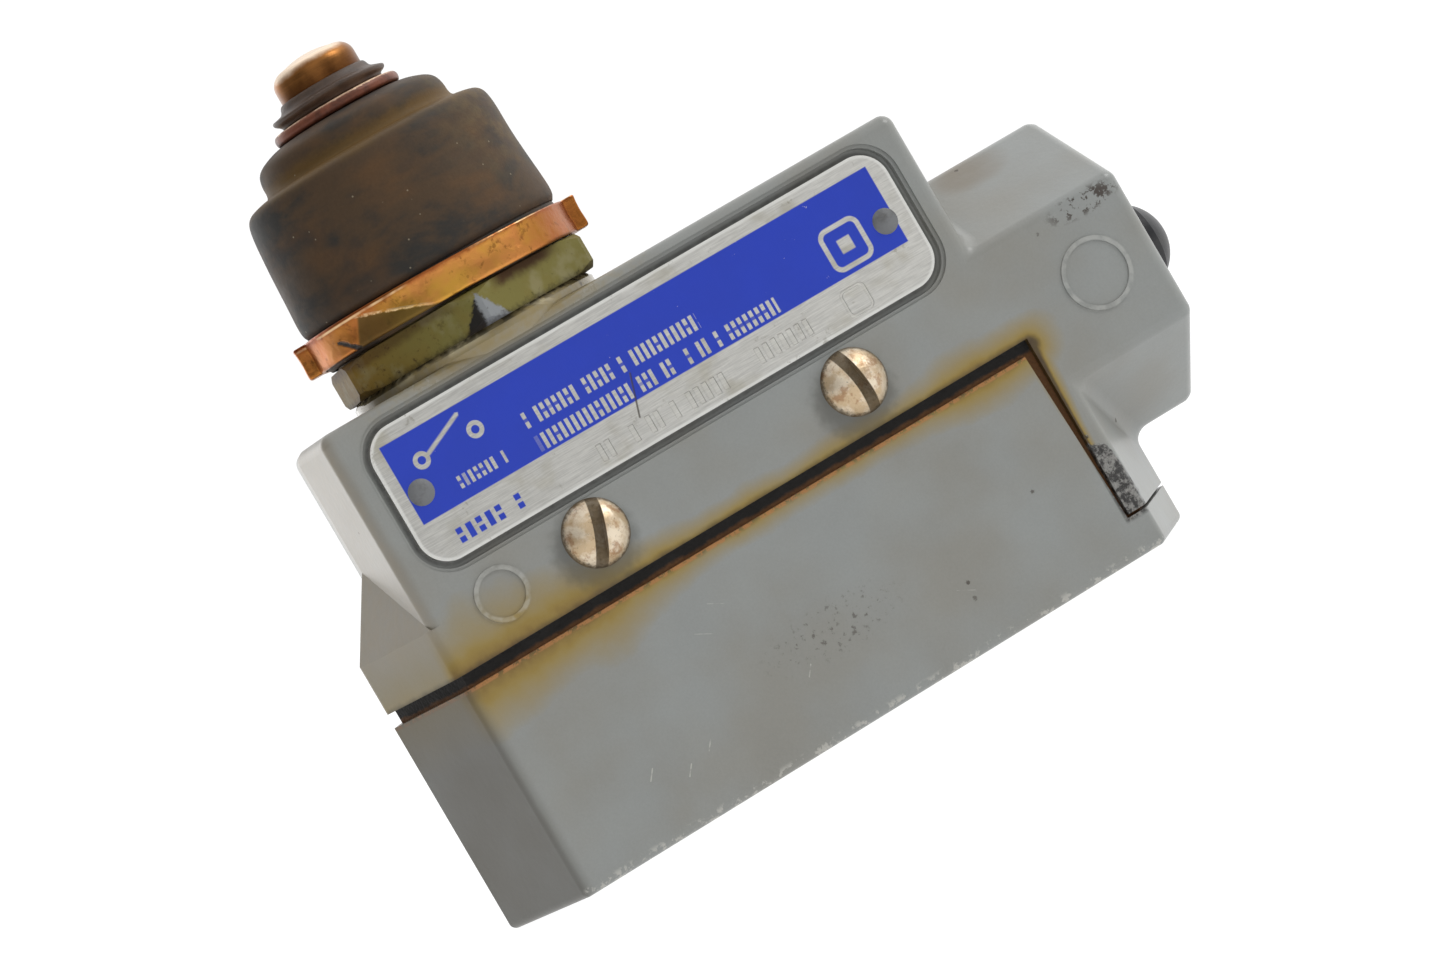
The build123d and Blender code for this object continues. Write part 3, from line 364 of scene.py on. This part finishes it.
def brushedPlate(name, look):
    # aluminium brushed along x, a printed panel with plain bars and signs left bare in it, and stamped bars below
    s = Surface(name)
    x, z = s.x, s.z
    brush = s.noise(1.0, 3, 0.6, stretch=(0.5, 1, 9.0))
    streak = s.noise(1.0, 3, 0.6, stretch=(9.0, 1, 0.35), shift=3)
    clouds = s.noise(0.25, 3, shift=5)
    # the metal grows brighter towards the right: painted light across the plate
    metal = s.shade(colour(look["metal"]), 0.45 + brush * 0.75 + streak * 0.1 + x * 0.003)
    metal = s.mix(metal, look["yellowed"], clouds.rise(0.55, 0.8) * 0.35)
    # painted highlight: a pale line along the plate's rounded edge
    metal = s.mix(metal, look["rim"], s.outline(x, z, *look["edge"]).rise(-0.4, -0.15) * 0.6)

    # a switch sign: two round terminals and a lever between them; and a square in a rounded frame
    bare = strokes(s, x, z, look["lever"], 4.8, 0.42, 0.3)
    for place in look["terminals"]:
        bare = bare.most((s.away(x, z, place) - look["terminalRadius"]).size().rise(0.26, 0.18))
    for row in look["bareRows"]:
        bare = bare.most(bars(s, *row))
    bare = bare.most(frameSign(s, look["square"], 2.0, 0.3)).most(s.box(x, z, look["square"], (0.7, 0.7)))

    chips = s.noise(1.2, 4, 0.75, shift=17).rise(0.7, 0.72)
    panel = s.box(x, z, *look["panel"], 0.06)
    printed = (panel * (1 - bare)).most(bars(s, *look["inkRow"])) * (1 - chips * 0.8)
    ink = s.shade(colour(look["blue"]), 0.92 + clouds * 0.16)
    base = s.mix(metal, ink, printed)
    stamped = frameSign(s, look["stampedSquare"], 1.25, 0.16)
    for row in look["stampedRows"]:
        stamped = stamped.most(bars(s, *row))
    base = s.mix(base, look["stamp"], stamped * 0.3)
    scratch = strokes(s, x, z, look["scratch"], 4.2, 1.25, 0.14)
    base = s.mix(base, look["gouge"], scratch * 0.75)
    tarnish = s.noise(0.6, 4, 0.7, shift=25).rise(0.62, 0.72)
    base = s.mix(base, look["tarnish"], tarnish * 0.35 * (1 - printed))
    height = brush * 0.012 + streak * 0.01 - stamped * 0.2 - scratch * 0.04 + printed * 0.01
    return s.feed(Base_Color=base, Metallic=(1 - printed) * 0.85, Roughness=0.38 + brush * 0.12,
                  Normal=s.bump(height, 0.8))


screwLook = dict(metal="cbb391", worn="f0e4cf", brass="9a6a42", pits="4c4234", dark="4a3b21", rim="3a2f1e",
                 places=((18.0, 28.3), (46.8, 28.1)), slots=(21.0, -8.0), between=32.5)


def wornScrew(name, look):
    # nickel rubbed through to brass, dark olive in the slot, whose direction is reckoned at each head
    s = Surface(name)
    x, y, z = s.x, s.y, s.z
    first = x.rise(look["between"], look["between"] - 0.1)
    slots, rims = [], []
    for place, angle in zip(look["places"], look["slots"]):
        turn = math.radians(angle)
        off = ((x - place[0]) * math.cos(turn) - (z - place[1]) * math.sin(turn)).size()
        slots.append(off.rise(0.68, 0.55))
        rims.append(s.away(x, z, place))
    slot, rim = (first * pair[0] + (1 - first) * pair[1] for pair in (slots, rims))
    slot = slot * y.rise(-1.95, -1.5)
    clouds, fine = s.noise(0.5, 4, 0.65), s.noise(3.0, 4, 0.7, shift=4)
    base = s.mix(look["metal"], look["worn"], clouds.rise(0.4, 0.6) * 0.7)
    base = s.mix(base, look["brass"], s.noise(0.7, 4, 0.7, shift=9).rise(0.52, 0.66) * 0.6)
    base = s.mix(base, look["pits"], fine.rise(0.58, 0.72) * 0.45)
    base = s.mix(base, look["dark"], slot * (0.75 + fine * 0.25))
    # painted shade: a dark ring round the edge of each head
    base = s.mix(base, look["rim"], (rim + fine * 0.6).rise(3.2, 3.55) * 0.8)
    return s.feed(Base_Color=base, Metallic=0.6 - slot * 0.4, Roughness=0.25 + fine * 0.2 + slot * 0.3,
                  Normal=s.bump(fine * 0.05 + clouds * 0.04))


bushingLook = dict(olive="716a38", dark="7a5c1e", scuffed="8b8566", rust="3a2a12", steel="85888a", shadow="262422",
                   red="35130b", grimeAndShade="241b0e", corner=19.0, patchTop=52.9, base=49.7)


def olivePlate(name, look):
    # yellowed zinc, browner to the left, worn to steel in a triangle at the front corner with painted shade on its
    # left side, a dark red painted shadow and reflection of the copper band just below it, and painted shade at the
    # foot
    s = Surface(name, Specular_IOR_Level=0.18)
    x, y, z = s.x, s.y, s.z
    clouds, fine = s.noise(0.3, 4, 0.6), s.noise(2.2, 4, 0.7, shift=4)
    browned = (x + clouds * 8).rise(20, 9) * 0.85 + clouds.rise(0.5, 0.8) * 0.3
    base = s.mix(look["olive"], look["dark"], browned)
    base = s.mix(base, look["scuffed"], s.noise(0.35, 3, shift=8).rise(0.5, 0.7) * 0.5)
    base = s.mix(base, look["rust"], s.noise(1.1, 4, 0.7, shift=15).rise(0.56, 0.66) * x.rise(19, 12) * 0.7)
    side = (x - look["corner"]).size() - (look["patchTop"] - z) * 0.75
    corner = (side + (fine - 0.5) * 1.2).rise(0.15, -0.2) * y.rise(0.6, -0.4)
    steel = s.mix(look["shadow"], look["steel"], (x + fine * 0.8).rise(look["corner"] - 0.1, look["corner"] + 0.3))
    base = s.mix(base, steel, corner)
    # painted shadow and painted reflection of the copper band, dark red, just under the band
    across = x.rise(20.5, 22.5) * x.rise(30, 27) + x.rise(18, 15) * 0.6
    bandShadowAndReflection = (z + (clouds - 0.5) * 2.0).rise(look["patchTop"] - 1.0, look["patchTop"]) * across
    base = s.mix(base, look["red"], bandShadowAndReflection * 0.85)
    # painted shade at the hex's foot; grime specks over the whole
    foot = (z - (fine - 0.5) * 1.2).rise(look["base"] + 0.7, look["base"] - 0.1)
    base = s.mix(base, look["grimeAndShade"], foot * 0.6 + fine.rise(0.6, 0.72) * 0.4)
    return s.feed(Base_Color=base, Metallic=0.15 + corner * 0.3, Roughness=0.48 + fine * 0.2,
                  Normal=s.bump(fine * 0.03))


bootLook = dict(brown="4a3a2a", blue="262a2b", tan="614427", dark="171411", ochre="6f5425", sandy="7a6542",
                dust="9b8f78", groove=70.6)


def oldRubber(name, look):
    # brown rubber with bluish dark clouds drawn out round the boot, ochre in the groove, pale dust
    s = Surface(name, Specular_IOR_Level=0.2)
    x, z = s.x, s.z
    spread = s.noise(0.1, 4, 0.6, stretch=(1, 1, 2.4), shift=2, warp=0.4)
    small, fine = s.noise(0.5, 4, 0.6, stretch=(1, 1, 1.4), shift=6), s.noise(4.0, 3, shift=1)
    base = s.mix(look["brown"], look["blue"], (spread + (small - 0.5) * 0.35).rise(0.38, 0.66) * 0.8)
    base = s.mix(base, look["tan"], s.noise(0.14, 3, stretch=(1, 1, 2), shift=13).rise(0.48, 0.72) * 0.45)
    base = s.mix(base, look["dark"], x.rise(12, 7) * z.rise(72, 62) * 0.35)
    base = s.mix(base, look["ochre"], (z - look["groove"] + (small - 0.5)).size().rise(1.5, 0.2) * 0.6)
    base = s.mix(base, look["sandy"], z.rise(57.0, 66.0) * x.rise(21, 31) * small.rise(0.35, 0.7) * 0.4)
    spot, number = s.cells(0.9, 5.0)
    base = s.mix(base, look["dust"], spot.rise(0.12, 0.05) * number.rise(0.6, 0.75) * 0.6)
    base = s.shade(base, 0.85 + fine * 0.3)
    return s.feed(Base_Color=base, Roughness=0.5 + small * 0.18, Normal=s.bump(fine * 0.006 + small * 0.05))


bandLook = dict(copper="cf8a4a", gold="c89a3c", rightBrown="8c3e20", leftBrown="a0522a", red="7c2c16", pits="6a3f1c",
                shine="ffe2b0", facet="57481c", creaseHighlight="f3d9a8", slit="1d120a", radius=13.9, low=53.4,
                facetPeak=(9.5, 56.4), facetFoot=(8.3, 53.5), slitMiddle=((8.25, 54.4),))


def scorchedCopper(name, look):
    # copper with heat colours in clouds, a red upper edge, and in front an olive facet right of a short dark slit
    s = Surface(name)
    x, y, z = s.x, s.y, s.z
    dx, dy = x - plungerPlace[0], y - plungerPlace[1]
    around = dx.math("ARCTAN2", -dy) * look["radius"]          # arc length, 0 straight in front
    height = z - look["low"]
    clouds, small = s.noise(0.22, 3, 0.6, shift=3), s.noise(1.1, 4, 0.65, shift=7)
    fine = s.noise(1.0, 3, stretch=(4, 4, 12), shift=2)
    base = s.mix(look["copper"], look["gold"], clouds.rise(0.35, 0.65) * 0.8)
    base = s.mix(base, look["rightBrown"], around.rise(3.0, 11.0) * 0.7)
    base = s.mix(base, look["leftBrown"], around.rise(-6.0, -12.0) * 0.6)
    base = s.mix(base, look["red"], (height + (small - 0.5) * 0.7).rise(2.8, 3.4) * 0.65)
    base = s.mix(base, look["pits"], small.rise(0.55, 0.7) * 0.6)
    base = s.mix(base, look["shine"], (height - 3.3).size().rise(0.16, 0.04) * clouds.rise(0.4, 0.6) * 0.6)
    front = y.rise(8.0, 7.0)
    peak, foot = look["facetPeak"], look["facetFoot"]
    slant = z - peak[1] + (x - peak[0]) * 0.42 + (small - 0.5) * 0.5
    leftSide = (x - foot[0] - (z - foot[1]) * 0.41).rise(-0.1, 0.25)
    facet = slant.rise(0.2, -0.1) * leftSide * height.rise(0.05, 0.4) * front
    base = s.mix(base, look["facet"], facet * 0.85)
    line = strokes(s, x, z + (small - 0.5) * 0.6, look["slitMiddle"], 2.3, -0.94, 0.26) * front
    # painted highlight: a pale line along the crease above the facet
    creaseHighlight = (slant - 0.15).size().rise(0.2, 0.08) * x.rise(9.0, 10.0) * x.rise(16.0, 14.0) * front
    base = s.mix(base, look["creaseHighlight"], creaseHighlight * small.rise(0.35, 0.6) * 0.7)
    base = s.mix(base, look["slit"], line)
    dents = fine * 0.01 + clouds * 0.25 + small * 0.03 - line * 0.2 - facet * 0.05
    return s.feed(Base_Color=base, Metallic=0.92 - line * 0.8 - facet * 0.2,
                  Roughness=0.27 + small * 0.16 + facet * 0.12, Normal=s.bump(dents))


gasketLook = dict(black="0d0a08", brown="6a4319", line=22.3)


def oiledGasket(name, look):
    # black rubber, its lower half browned by oil in uneven clouds
    s = Surface(name)
    clouds, fine = s.noise(0.5, 4, 0.65), s.noise(3.0, 3, shift=2)
    lower = (s.z + (clouds - 0.5) * 0.9).rise(look["line"] + 0.15, look["line"] - 0.25)
    base = s.shade(s.mix(look["black"], look["brown"], lower * 0.8), 0.7 + fine * 0.6)
    return s.feed(Base_Color=base, Roughness=0.6 + clouds * 0.25, Normal=s.bump(fine * 0.12))


ringLook = dict(red="7c4630", dark="3a2016", bright="f0cfae", edge=75.0)


def rubbedRing(name, look):
    # red-brown paint with darker clouds, and a pale painted highlight along the upper edge
    s = Surface(name, Metallic=0.35)
    clouds, fine = s.noise(0.6, 4, 0.6), s.noise(3.0, 3, shift=2)
    base = s.mix(look["red"], look["dark"], clouds.rise(0.4, 0.7) * 0.7)
    edge = (s.z + (fine - 0.5) * 0.3).rise(look["edge"], look["edge"] + 0.2)
    base = s.mix(base, look["bright"], edge * clouds.rise(0.35, 0.55) * 0.9)
    return s.feed(Base_Color=base, Roughness=0.35 + clouds * 0.15, Normal=s.bump(fine * 0.02))


bronzeLook = dict(bronze="9a6838", dark="40200f", worn="e6d3bd", crown=79.35)


def wornBronze(name, look):
    # bronze browned towards the wiper, turned rings, and a crown rubbed bright, its pale leaning a little to the left
    # as a painted highlight
    s = Surface(name, Metallic=1.0)
    clouds, rings = s.noise(0.5, 4, 0.6), s.noise(1.0, 2, stretch=(0.4, 0.4, 9.0), shift=3)
    base = s.mix(look["bronze"], look["dark"], (s.z + (clouds - 0.5) * 2.4).rise(80.2, 77.2) * 0.8)
    crown = (s.z - look["crown"]) * 1.1 - (s.x - plungerPlace[0]) * 0.05 + (clouds - 0.5) * 1.1
    base = s.mix(base, look["worn"], crown.rise(0.0, 0.8) * 0.92)
    base = s.shade(base, 0.8 + rings * 0.4)
    return s.feed(Base_Color=base, Roughness=0.3 + clouds * 0.14, Normal=s.bump(rings * 0.012))


print("materials")
dress(("housing", "cover"), enamel("grey enamel", enamelLook))
dress(("nameplate",), brushedPlate("nameplate aluminium", plateLook))
dress(("switch_mounting_screws",), wornScrew("worn nickel", screwLook))
dress(("plunger_bushing",), olivePlate("olive plate", bushingLook))
dress(("plunger",), wornBronze("worn bronze", bronzeLook))
dress(("cover_gasket",), oiledGasket("oiled gasket", gasketLook))
dress(("bushing_seal",), plain("seal rubber", "1c1611", 0.75, patina="3d2618", amount=0.7, grain=0.15))
dress(("cover_screw_long", "cover_screw_short", "plunger_retaining_ring", "spring_seat", "inner_plunger_clip"),
      plain("plated steel", "b9b6aa", 0.35, 1.0, patina="6a6250"))
dress(("insulating_liner",), plain("fibre sheet", "8f8a7c", 0.85, patina="6a6350", grain=0.03))
dress(("nameplate_rivets",), plain("painted rivet", "6c6e70", 0.5, patina="3c3a36", amount=0.7, grain=0.04))
dress(("inner_plunger", "switch_case_rivets", "normally_closed_terminals", "normally_open_terminals",
       "common_terminals", "terminal_screws"), plain("brass", "c8a45c", 0.3, 1.0, patina="6e5526", amount=0.5))
dress(("switch_case", "switch_case_lid"), plain("phenolic", "2c211a", 0.5, patina="17110d", amount=0.6))
dress(("switch_button",), plain("red moulding", "8c2418", 0.45, patina="5c160e"))
dress(("contact_blades",), plain("spring copper", "c8814e", 0.3, 1.0, patina="7a4628"))
dress(("moving_contacts",), plain("contact silver", "d8d6d0", 0.25, 1.0, patina="7c7a74"))
dress(("conduit_plug",), plain("black moulding", "232427", 0.4, patina="3a3936", amount=0.5, grain=0.02))


def addPiece(name, places, faces, material, body, stands):
    # smooth faces on points in metres, riding on a body in place of the CAD nodes it stands for
    mesh = bpy.data.meshes.new(name)
    mesh.from_pydata(places.tolist(), [], faces)
    mesh.polygons.foreach_set("use_smooth", np.ones(len(faces), bool))
    mesh.materials.append(material)
    mesh.update()
    piece = bpy.data.objects.new(name, mesh)
    bpy.context.scene.collection.objects.link(piece)
    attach(piece, body)
    if stands:
        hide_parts(*stands)
    return piece


def gridSurface(name, points, material, body, stands=()):
    # a grid of points in millimetres, joined up both ways round; turned inside out if its volume is negative
    rows, columns = points.shape[:2]
    places = points.reshape(-1, 3) * mm + np.array(cornerPoint)
    i, j = np.meshgrid(np.arange(rows), np.arange(columns), indexing="ij")
    nextRow, nextColumn = (i + 1) % rows, (j + 1) % columns
    quads = np.stack([i * columns + j, nextRow * columns + j, nextRow * columns + nextColumn,
                      i * columns + nextColumn], -1).reshape(-1, 4)
    a, b, c, d = (places[quads[:, k]] - places.mean(0) for k in range(4))
    volume = (np.cross(a, b) * c).sum() + (np.cross(a, c) * d).sum()
    if volume < 0:
        quads = quads[:, ::-1]
    return addPiece(name, places, quads.tolist(), material, body, stands)


def tubeSurface(name, points, material, body, stands):
    # rings of points along a path, joined side by side, with a fan of triangles closing each end
    rows, columns = points.shape[:2]
    middles = points[:1].mean(1), points[-1:].mean(1)
    places = np.concatenate([points.reshape(-1, 3), *middles]) * mm + np.array(cornerPoint)
    i, j = np.meshgrid(np.arange(rows - 1), np.arange(columns), indexing="ij")
    nextColumn = (j + 1) % columns
    quads = np.stack([i * columns + j, (i + 1) * columns + j, (i + 1) * columns + nextColumn,
                      i * columns + nextColumn], -1).reshape(-1, 4)
    k, last = np.arange(columns), (rows - 1) * columns
    start = np.stack([(k + 1) % columns, k * 0 + rows * columns, k], -1)
    end = np.stack([k + last, k * 0 + rows * columns + 1, (k + 1) % columns + last], -1)
    return addPiece(name, places, quads.tolist() + start.tolist() + end.tolist(), material, body, stands)


def smoothLoop(points, rounds=3):
    # a closed outline with its corners cut again and again: each side keeps its points at 1/4 and 3/4
    line = np.array(points, float)
    for _ in range(rounds):
        after = np.roll(line, -1, 0)
        line = np.stack([line * 0.75 + after * 0.25, line * 0.25 + after * 0.75], 1).reshape(-1, 2)
    return line


def turnedGrid(profile, steps, uneven=None):
    # a closed (radius, height) outline turned about the plunger's axis; uneven adds to the radius and the height
    angle = np.linspace(0, 2 * np.pi, steps, endpoint=False)[:, None]
    radius, height = profile[None, :, 0] + angle * 0, profile[None, :, 1] + angle * 0
    if uneven:
        more, rise = uneven(angle, radius, height)
        radius, height = radius + more, height + rise
    return np.stack([plungerPlace[0] + radius * np.cos(angle), plungerPlace[1] + radius * np.sin(angle), height], -1)


bootShape = dict(low=57.1, keep=0.676, lump=0.06, steps=160, cuffSteps=120,
                 outer=((13.2, 57.1), (13.25, 57.15), (13.66, 57.9), (13.45, 61.0), (13.2, 65.0), (13.05, 68.4),
                        (12.6, 69.8), (11.3, 70.2), (10.3, 70.3), (9.85, 70.7), (9.85, 72.0), (9.4, 73.1),
                        (7.8, 73.8), (6.4, 74.1), (4.5, 74.1), (4.4, 74.1)),
                 inner=((4.4, 74.0), (4.4, 72.8), (7.4, 72.5), (8.3, 71.4), (8.6, 69.4), (10.8, 68.8),
                        (11.6, 67.6), (11.9, 64.0), (12.3, 57.2), (12.3, 57.1)),
                 cuff=((12.25, 53.5), (13.24, 53.5), (13.24, 57.5), (12.25, 57.5)))


def makeBoot(look):
    # the outline of the wall, turned; its radius wavers by lump times two slow sines of angle and height
    def waver(angle, radius, height):
        share = np.clip((height - look["low"] - 0.5) / 4, 0, 1) * np.clip((radius - 5) / 3, 0, 1)
        wave = np.sin(3 * angle + height * 0.3) + 0.6 * np.sin(5 * angle - height * 0.7 + 1)
        return look["lump"] * share * wave, look["lump"] * share * np.sin(2 * angle + 0.5) * 0.7

    rubber = oldRubber("boot rubber", bootLook)
    skirt = turnedGrid(smoothLoop(look["outer"] + look["inner"]), look["steps"], waver)
    boot = gridSurface("boot_skirt", skirt, rubber, "enclosure", ("boot",))
    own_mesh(boot)
    cuff = turnedGrid(smoothLoop(look["cuff"], 2), look["cuffSteps"])
    gridSurface("boot_cuff", cuff, rubber, "enclosure")


capShape = dict(steps=120, droop=0.1, lipRise=0.09, lipLow=75.8,
                ring=((4.3, 74.12), (6.35, 74.12), (6.62, 74.4), (6.62, 74.95), (6.3, 75.28), (4.3, 75.28)),
                lip=((4.3, 75.3), (5.3, 75.3), (5.35, 75.7), (5.95, 76.0), (6.0, 76.4), (5.5, 76.5), (4.8, 76.7),
                     (4.55, 77.4), (4.3, 77.5)))


def makeRingAndWiper(look):
    # two flat rings round the plunger on the boot's top; the wiper's lip flares and droops by slow sines of angle
    ring = turnedGrid(smoothLoop(look["ring"], 2), look["steps"])
    gridSurface("boot_top_ring_worn", ring, rubbedRing("red oxide", ringLook), "plunger",
                ("boot_top_ring",))

    def droop(angle, radius, height):
        outside = np.clip((radius - 5.2) / 0.7, 0, 1)
        rise = look["lipRise"] * outside * np.sin(3 * angle) * (height > look["lipLow"])
        return look["droop"] * outside * np.sin(2 * angle + 0.4), rise

    lip = turnedGrid(smoothLoop(look["lip"], 2), look["steps"], droop)
    rubber = plain("wiper rubber", "49372a", 0.5, patina="1f1712", amount=0.6)
    gridSurface("plunger_wiper_worn", lip, rubber, "plunger", ("plunger_wiper",))


bandShape = dict(low=53.4, high=57.1, inner=13.3, thickness=0.6, ear=1.16, earHalf=0.105, earAngle=168.0, tilt=0.22,
                 steps=720, steepness=260, waver=0.04)


def makeBand(look):
    # a strip section carried round a circle; its radius swells at two opposite ears, by
    # ear / (1 + exp(steepness * (off - earHalf))); the whole tips by tilt times the angle's cosine
    low, high, thick = look["low"], look["high"], look["thickness"]
    section = smoothLoop(((0, low + 0.25), (0.04, low + 0.25), (thick, low + 0.2), (thick, low + 1.0),
                          (thick - 0.06, (low + high) / 2), (thick, high - 0.8), (thick + 0.1, high - 0.25),
                          (0.3, high - 0.22), (0, high - 0.35)), 3)
    angle = np.linspace(0, 2 * np.pi, look["steps"], endpoint=False)[:, None]
    off = (angle - math.radians(look["earAngle"]) + np.pi / 2) % np.pi - np.pi / 2
    hump = 1 / (1 + np.exp((np.abs(off) - look["earHalf"]) * look["steepness"]))
    out, height = section[None, :, 0] + angle * 0, section[None, :, 1] + angle * 0
    swell = hump * look["ear"] * np.clip(out / 0.3, 0, 1) + look["waver"] * np.sin(4 * angle) * (1 - hump)
    radius = look["inner"] + out + swell
    height = height - look["tilt"] * np.cos(angle) * (1 - 0.2 * np.sin(angle))
    points = np.stack([plungerPlace[0] + radius * np.cos(angle), plungerPlace[1] + radius * np.sin(angle), height], -1)
    copper = scorchedCopper("scorched copper", bandLook)
    gridSurface("boot_band", points, copper, "enclosure", ("boot_clamp",))


springs = dict(return_spring=dict(radius=5.4, wire=0.45, low=57.0, high=71.2, turns=7, keep=0.613),
               overtravel_spring=dict(radius=2.2, wire=0.35, low=52.8, high=64.0, turns=9, keep=0.509))


def makeSpring(name, look, steel):
    # a circle of wire carried up a helix of the given turns; the wire tapers to nothing over its last steps
    steps, around = 64 * look["turns"], 12
    t = np.linspace(0, 1, steps)[:, None]
    v = np.linspace(0, 2 * np.pi, around, endpoint=False)[None, :]
    wire = look["wire"] * np.clip(np.minimum(t, 1 - t) * steps / 2, 0.001, 1)
    turn = 2 * np.pi * look["turns"] * t
    radius = look["radius"] + wire * np.cos(v)
    climb = look["high"] - look["low"] - 2 * look["wire"]
    height = look["low"] + look["wire"] + climb * t + wire * np.sin(v)
    points = np.stack([plungerPlace[0] + radius * np.cos(turn), plungerPlace[1] + radius * np.sin(turn), height], -1)
    piece = tubeSurface(name + "_wire", points, steel, "enclosure", (name,))
    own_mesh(piece)


print("rubber and band")
makeBoot(bootShape)
makeRingAndWiper(capShape)
makeBand(bandShape)
print("springs")
springSteel = plain("spring steel", "a8a8a6", 0.3, 1.0, patina="5c5648")
for springName, springShape in springs.items():
    makeSpring(springName, springShape, springSteel)


stageLook = dict(size=3.0, glow=0.96, shade=0.12)


def makeFloor(look):
    # a level square under the cover, white enough to vanish into the backdrop
    half, level = look["size"] / 2, cornerPoint.z
    mesh = bpy.data.meshes.new("floor")
    mesh.from_pydata([(-half, -half, level), (half, -half, level), (half, half, level), (-half, half, level)],
                     [], [(0, 1, 2, 3)])
    floor = bpy.data.objects.new("floor", mesh)
    bpy.context.scene.collection.objects.link(floor)
    s = Surface("pale floor", Roughness=0.9, Emission_Strength=look["glow"])
    cloud, shade = s.noise(0.004, 2), look["shade"]
    dull = s.mix((shade, shade, shade, 1), (shade * 1.05,) * 3 + (1,), cloud)
    mesh.materials.append(s.feed(Base_Color=dull, Emission_Color=s.mix((0.99, 0.99, 0.99, 1), (1, 1, 1, 1), cloud)))


worldLook = dict(front=0.19, back=1.0, left=0.27, right=1.35, high=0.42, card=1.7, seen=1.05,
                 cardPlace=(-0.42, 0.9, 0.05), cardEdge=(0.86, 0.97))


def makeWorld(look):
    # brightness by direction: dim in front and to the left, bright behind and to the right, with a bright card
    # behind on the left; the lens itself sees plain white
    world = bpy.data.worlds.new("studio")
    world.use_nodes = True
    bpy.context.scene.world = world
    tree = world.node_tree
    tree.nodes.clear()
    add, link = tree.nodes.new, tree.links.new
    texture, split = add("ShaderNodeTexCoord"), add("ShaderNodeSeparateXYZ")
    link(texture.outputs["Generated"], split.inputs[0])

    def ease(socket, low, high, a, b):
        node = add("ShaderNodeMapRange")
        node.interpolation_type = "SMOOTHSTEP"
        link(socket, node.inputs["Value"])
        for key, value in zip(("From Min", "From Max", "To Min", "To Max"), (low, high, a, b)):
            node.inputs[key].default_value = value
        return node.outputs[0]

    def combine(operation, a, b):
        node = add("ShaderNodeMath")
        node.operation = operation
        link(a, node.inputs[0])
        link(b, node.inputs[1])
        return node.outputs[0]

    depth = ease(split.outputs[1], -0.8, 0.5, look["front"], look["back"])
    side = combine("ADD", ease(split.outputs[0], -0.6, 0.1, look["left"], 1.0),
                   ease(split.outputs[0], 0.1, 0.8, 0.0, look["right"] - 1.0))
    high = ease(split.outputs[2], 0.1, 0.9, 0.0, look["high"])
    toward = add("ShaderNodeVectorMath")
    toward.operation = "DOT_PRODUCT"
    link(texture.outputs["Generated"], toward.inputs[0])
    toward.inputs[1].default_value = Vector(look["cardPlace"]).normalized()
    card = ease(toward.outputs["Value"], *look["cardEdge"], 0.0, look["card"])
    bright = combine("ADD", combine("ADD", combine("MULTIPLY", depth, side), high), card)
    lit, seen, mix = add("ShaderNodeBackground"), add("ShaderNodeBackground"), add("ShaderNodeMixShader")
    link(bright, lit.inputs["Strength"])
    seen.inputs["Strength"].default_value = look["seen"]
    for node in (lit, seen):
        node.inputs["Color"].default_value = (1, 1, 1, 1)
    path, output = add("ShaderNodeLightPath"), add("ShaderNodeOutputWorld")
    link(path.outputs["Is Camera Ray"], mix.inputs[0])
    link(lit.outputs[0], mix.inputs[1])
    link(seen.outputs[0], mix.inputs[2])
    link(mix.outputs[0], output.inputs[0])


aimPoint = fromCorner(30.9, 0.0, 26.4)
cameraLook = dict(azimuth=15.5, elevation=1.67, distance=0.463, roll=30.3, lens=124.57, sensor=36.0,
                  near=0.01, far=20)


def makeCamera(look):
    # placed round the aim point by azimuth and elevation, then rolled about its own line of sight
    azimuth, elevation = math.radians(look["azimuth"]), math.radians(look["elevation"])
    away = Vector((-math.sin(azimuth) * math.cos(elevation), -math.cos(azimuth) * math.cos(elevation),
                   math.sin(elevation)))
    camera = bpy.data.objects.new("camera", bpy.data.cameras.new("camera"))
    bpy.context.scene.collection.objects.link(camera)
    camera.data.lens, camera.data.sensor_width = look["lens"], look["sensor"]
    camera.data.clip_start, camera.data.clip_end = look["near"], look["far"]
    facing = (-away).to_track_quat("-Z", "Y").to_matrix().to_4x4()
    roll = Matrix.Rotation(-math.radians(look["roll"]), 4, "Z")
    camera.matrix_world = Matrix.Translation(aimPoint + away * look["distance"]) @ facing @ roll
    bpy.context.scene.camera = camera


lights = {"key": dict(place=(780, -380, 620), size=0.5, power=3.6),
          "fill": dict(place=(-60, -520, 300), size=0.5, power=0.4)}


def makeLight(name, look):
    # a round soft lamp aimed at the enclosure
    data = bpy.data.lights.new(name, "AREA")
    data.shape, data.size, data.energy = "DISK", look["size"], look["power"]
    lamp = bpy.data.objects.new(name, data)
    bpy.context.scene.collection.objects.link(lamp)
    place = fromCorner(*look["place"])
    facing = (aimPoint - place).to_track_quat("-Z", "Y").to_matrix().to_4x4()
    lamp.matrix_world = Matrix.Translation(place) @ facing


print("floor, light and camera")
makeFloor(stageLook)
makeWorld(worldLook)
makeCamera(cameraLook)
for lightName, lightLook in lights.items():
    makeLight(lightName, lightLook)
bpy.context.scene.view_settings.view_transform = "Standard"
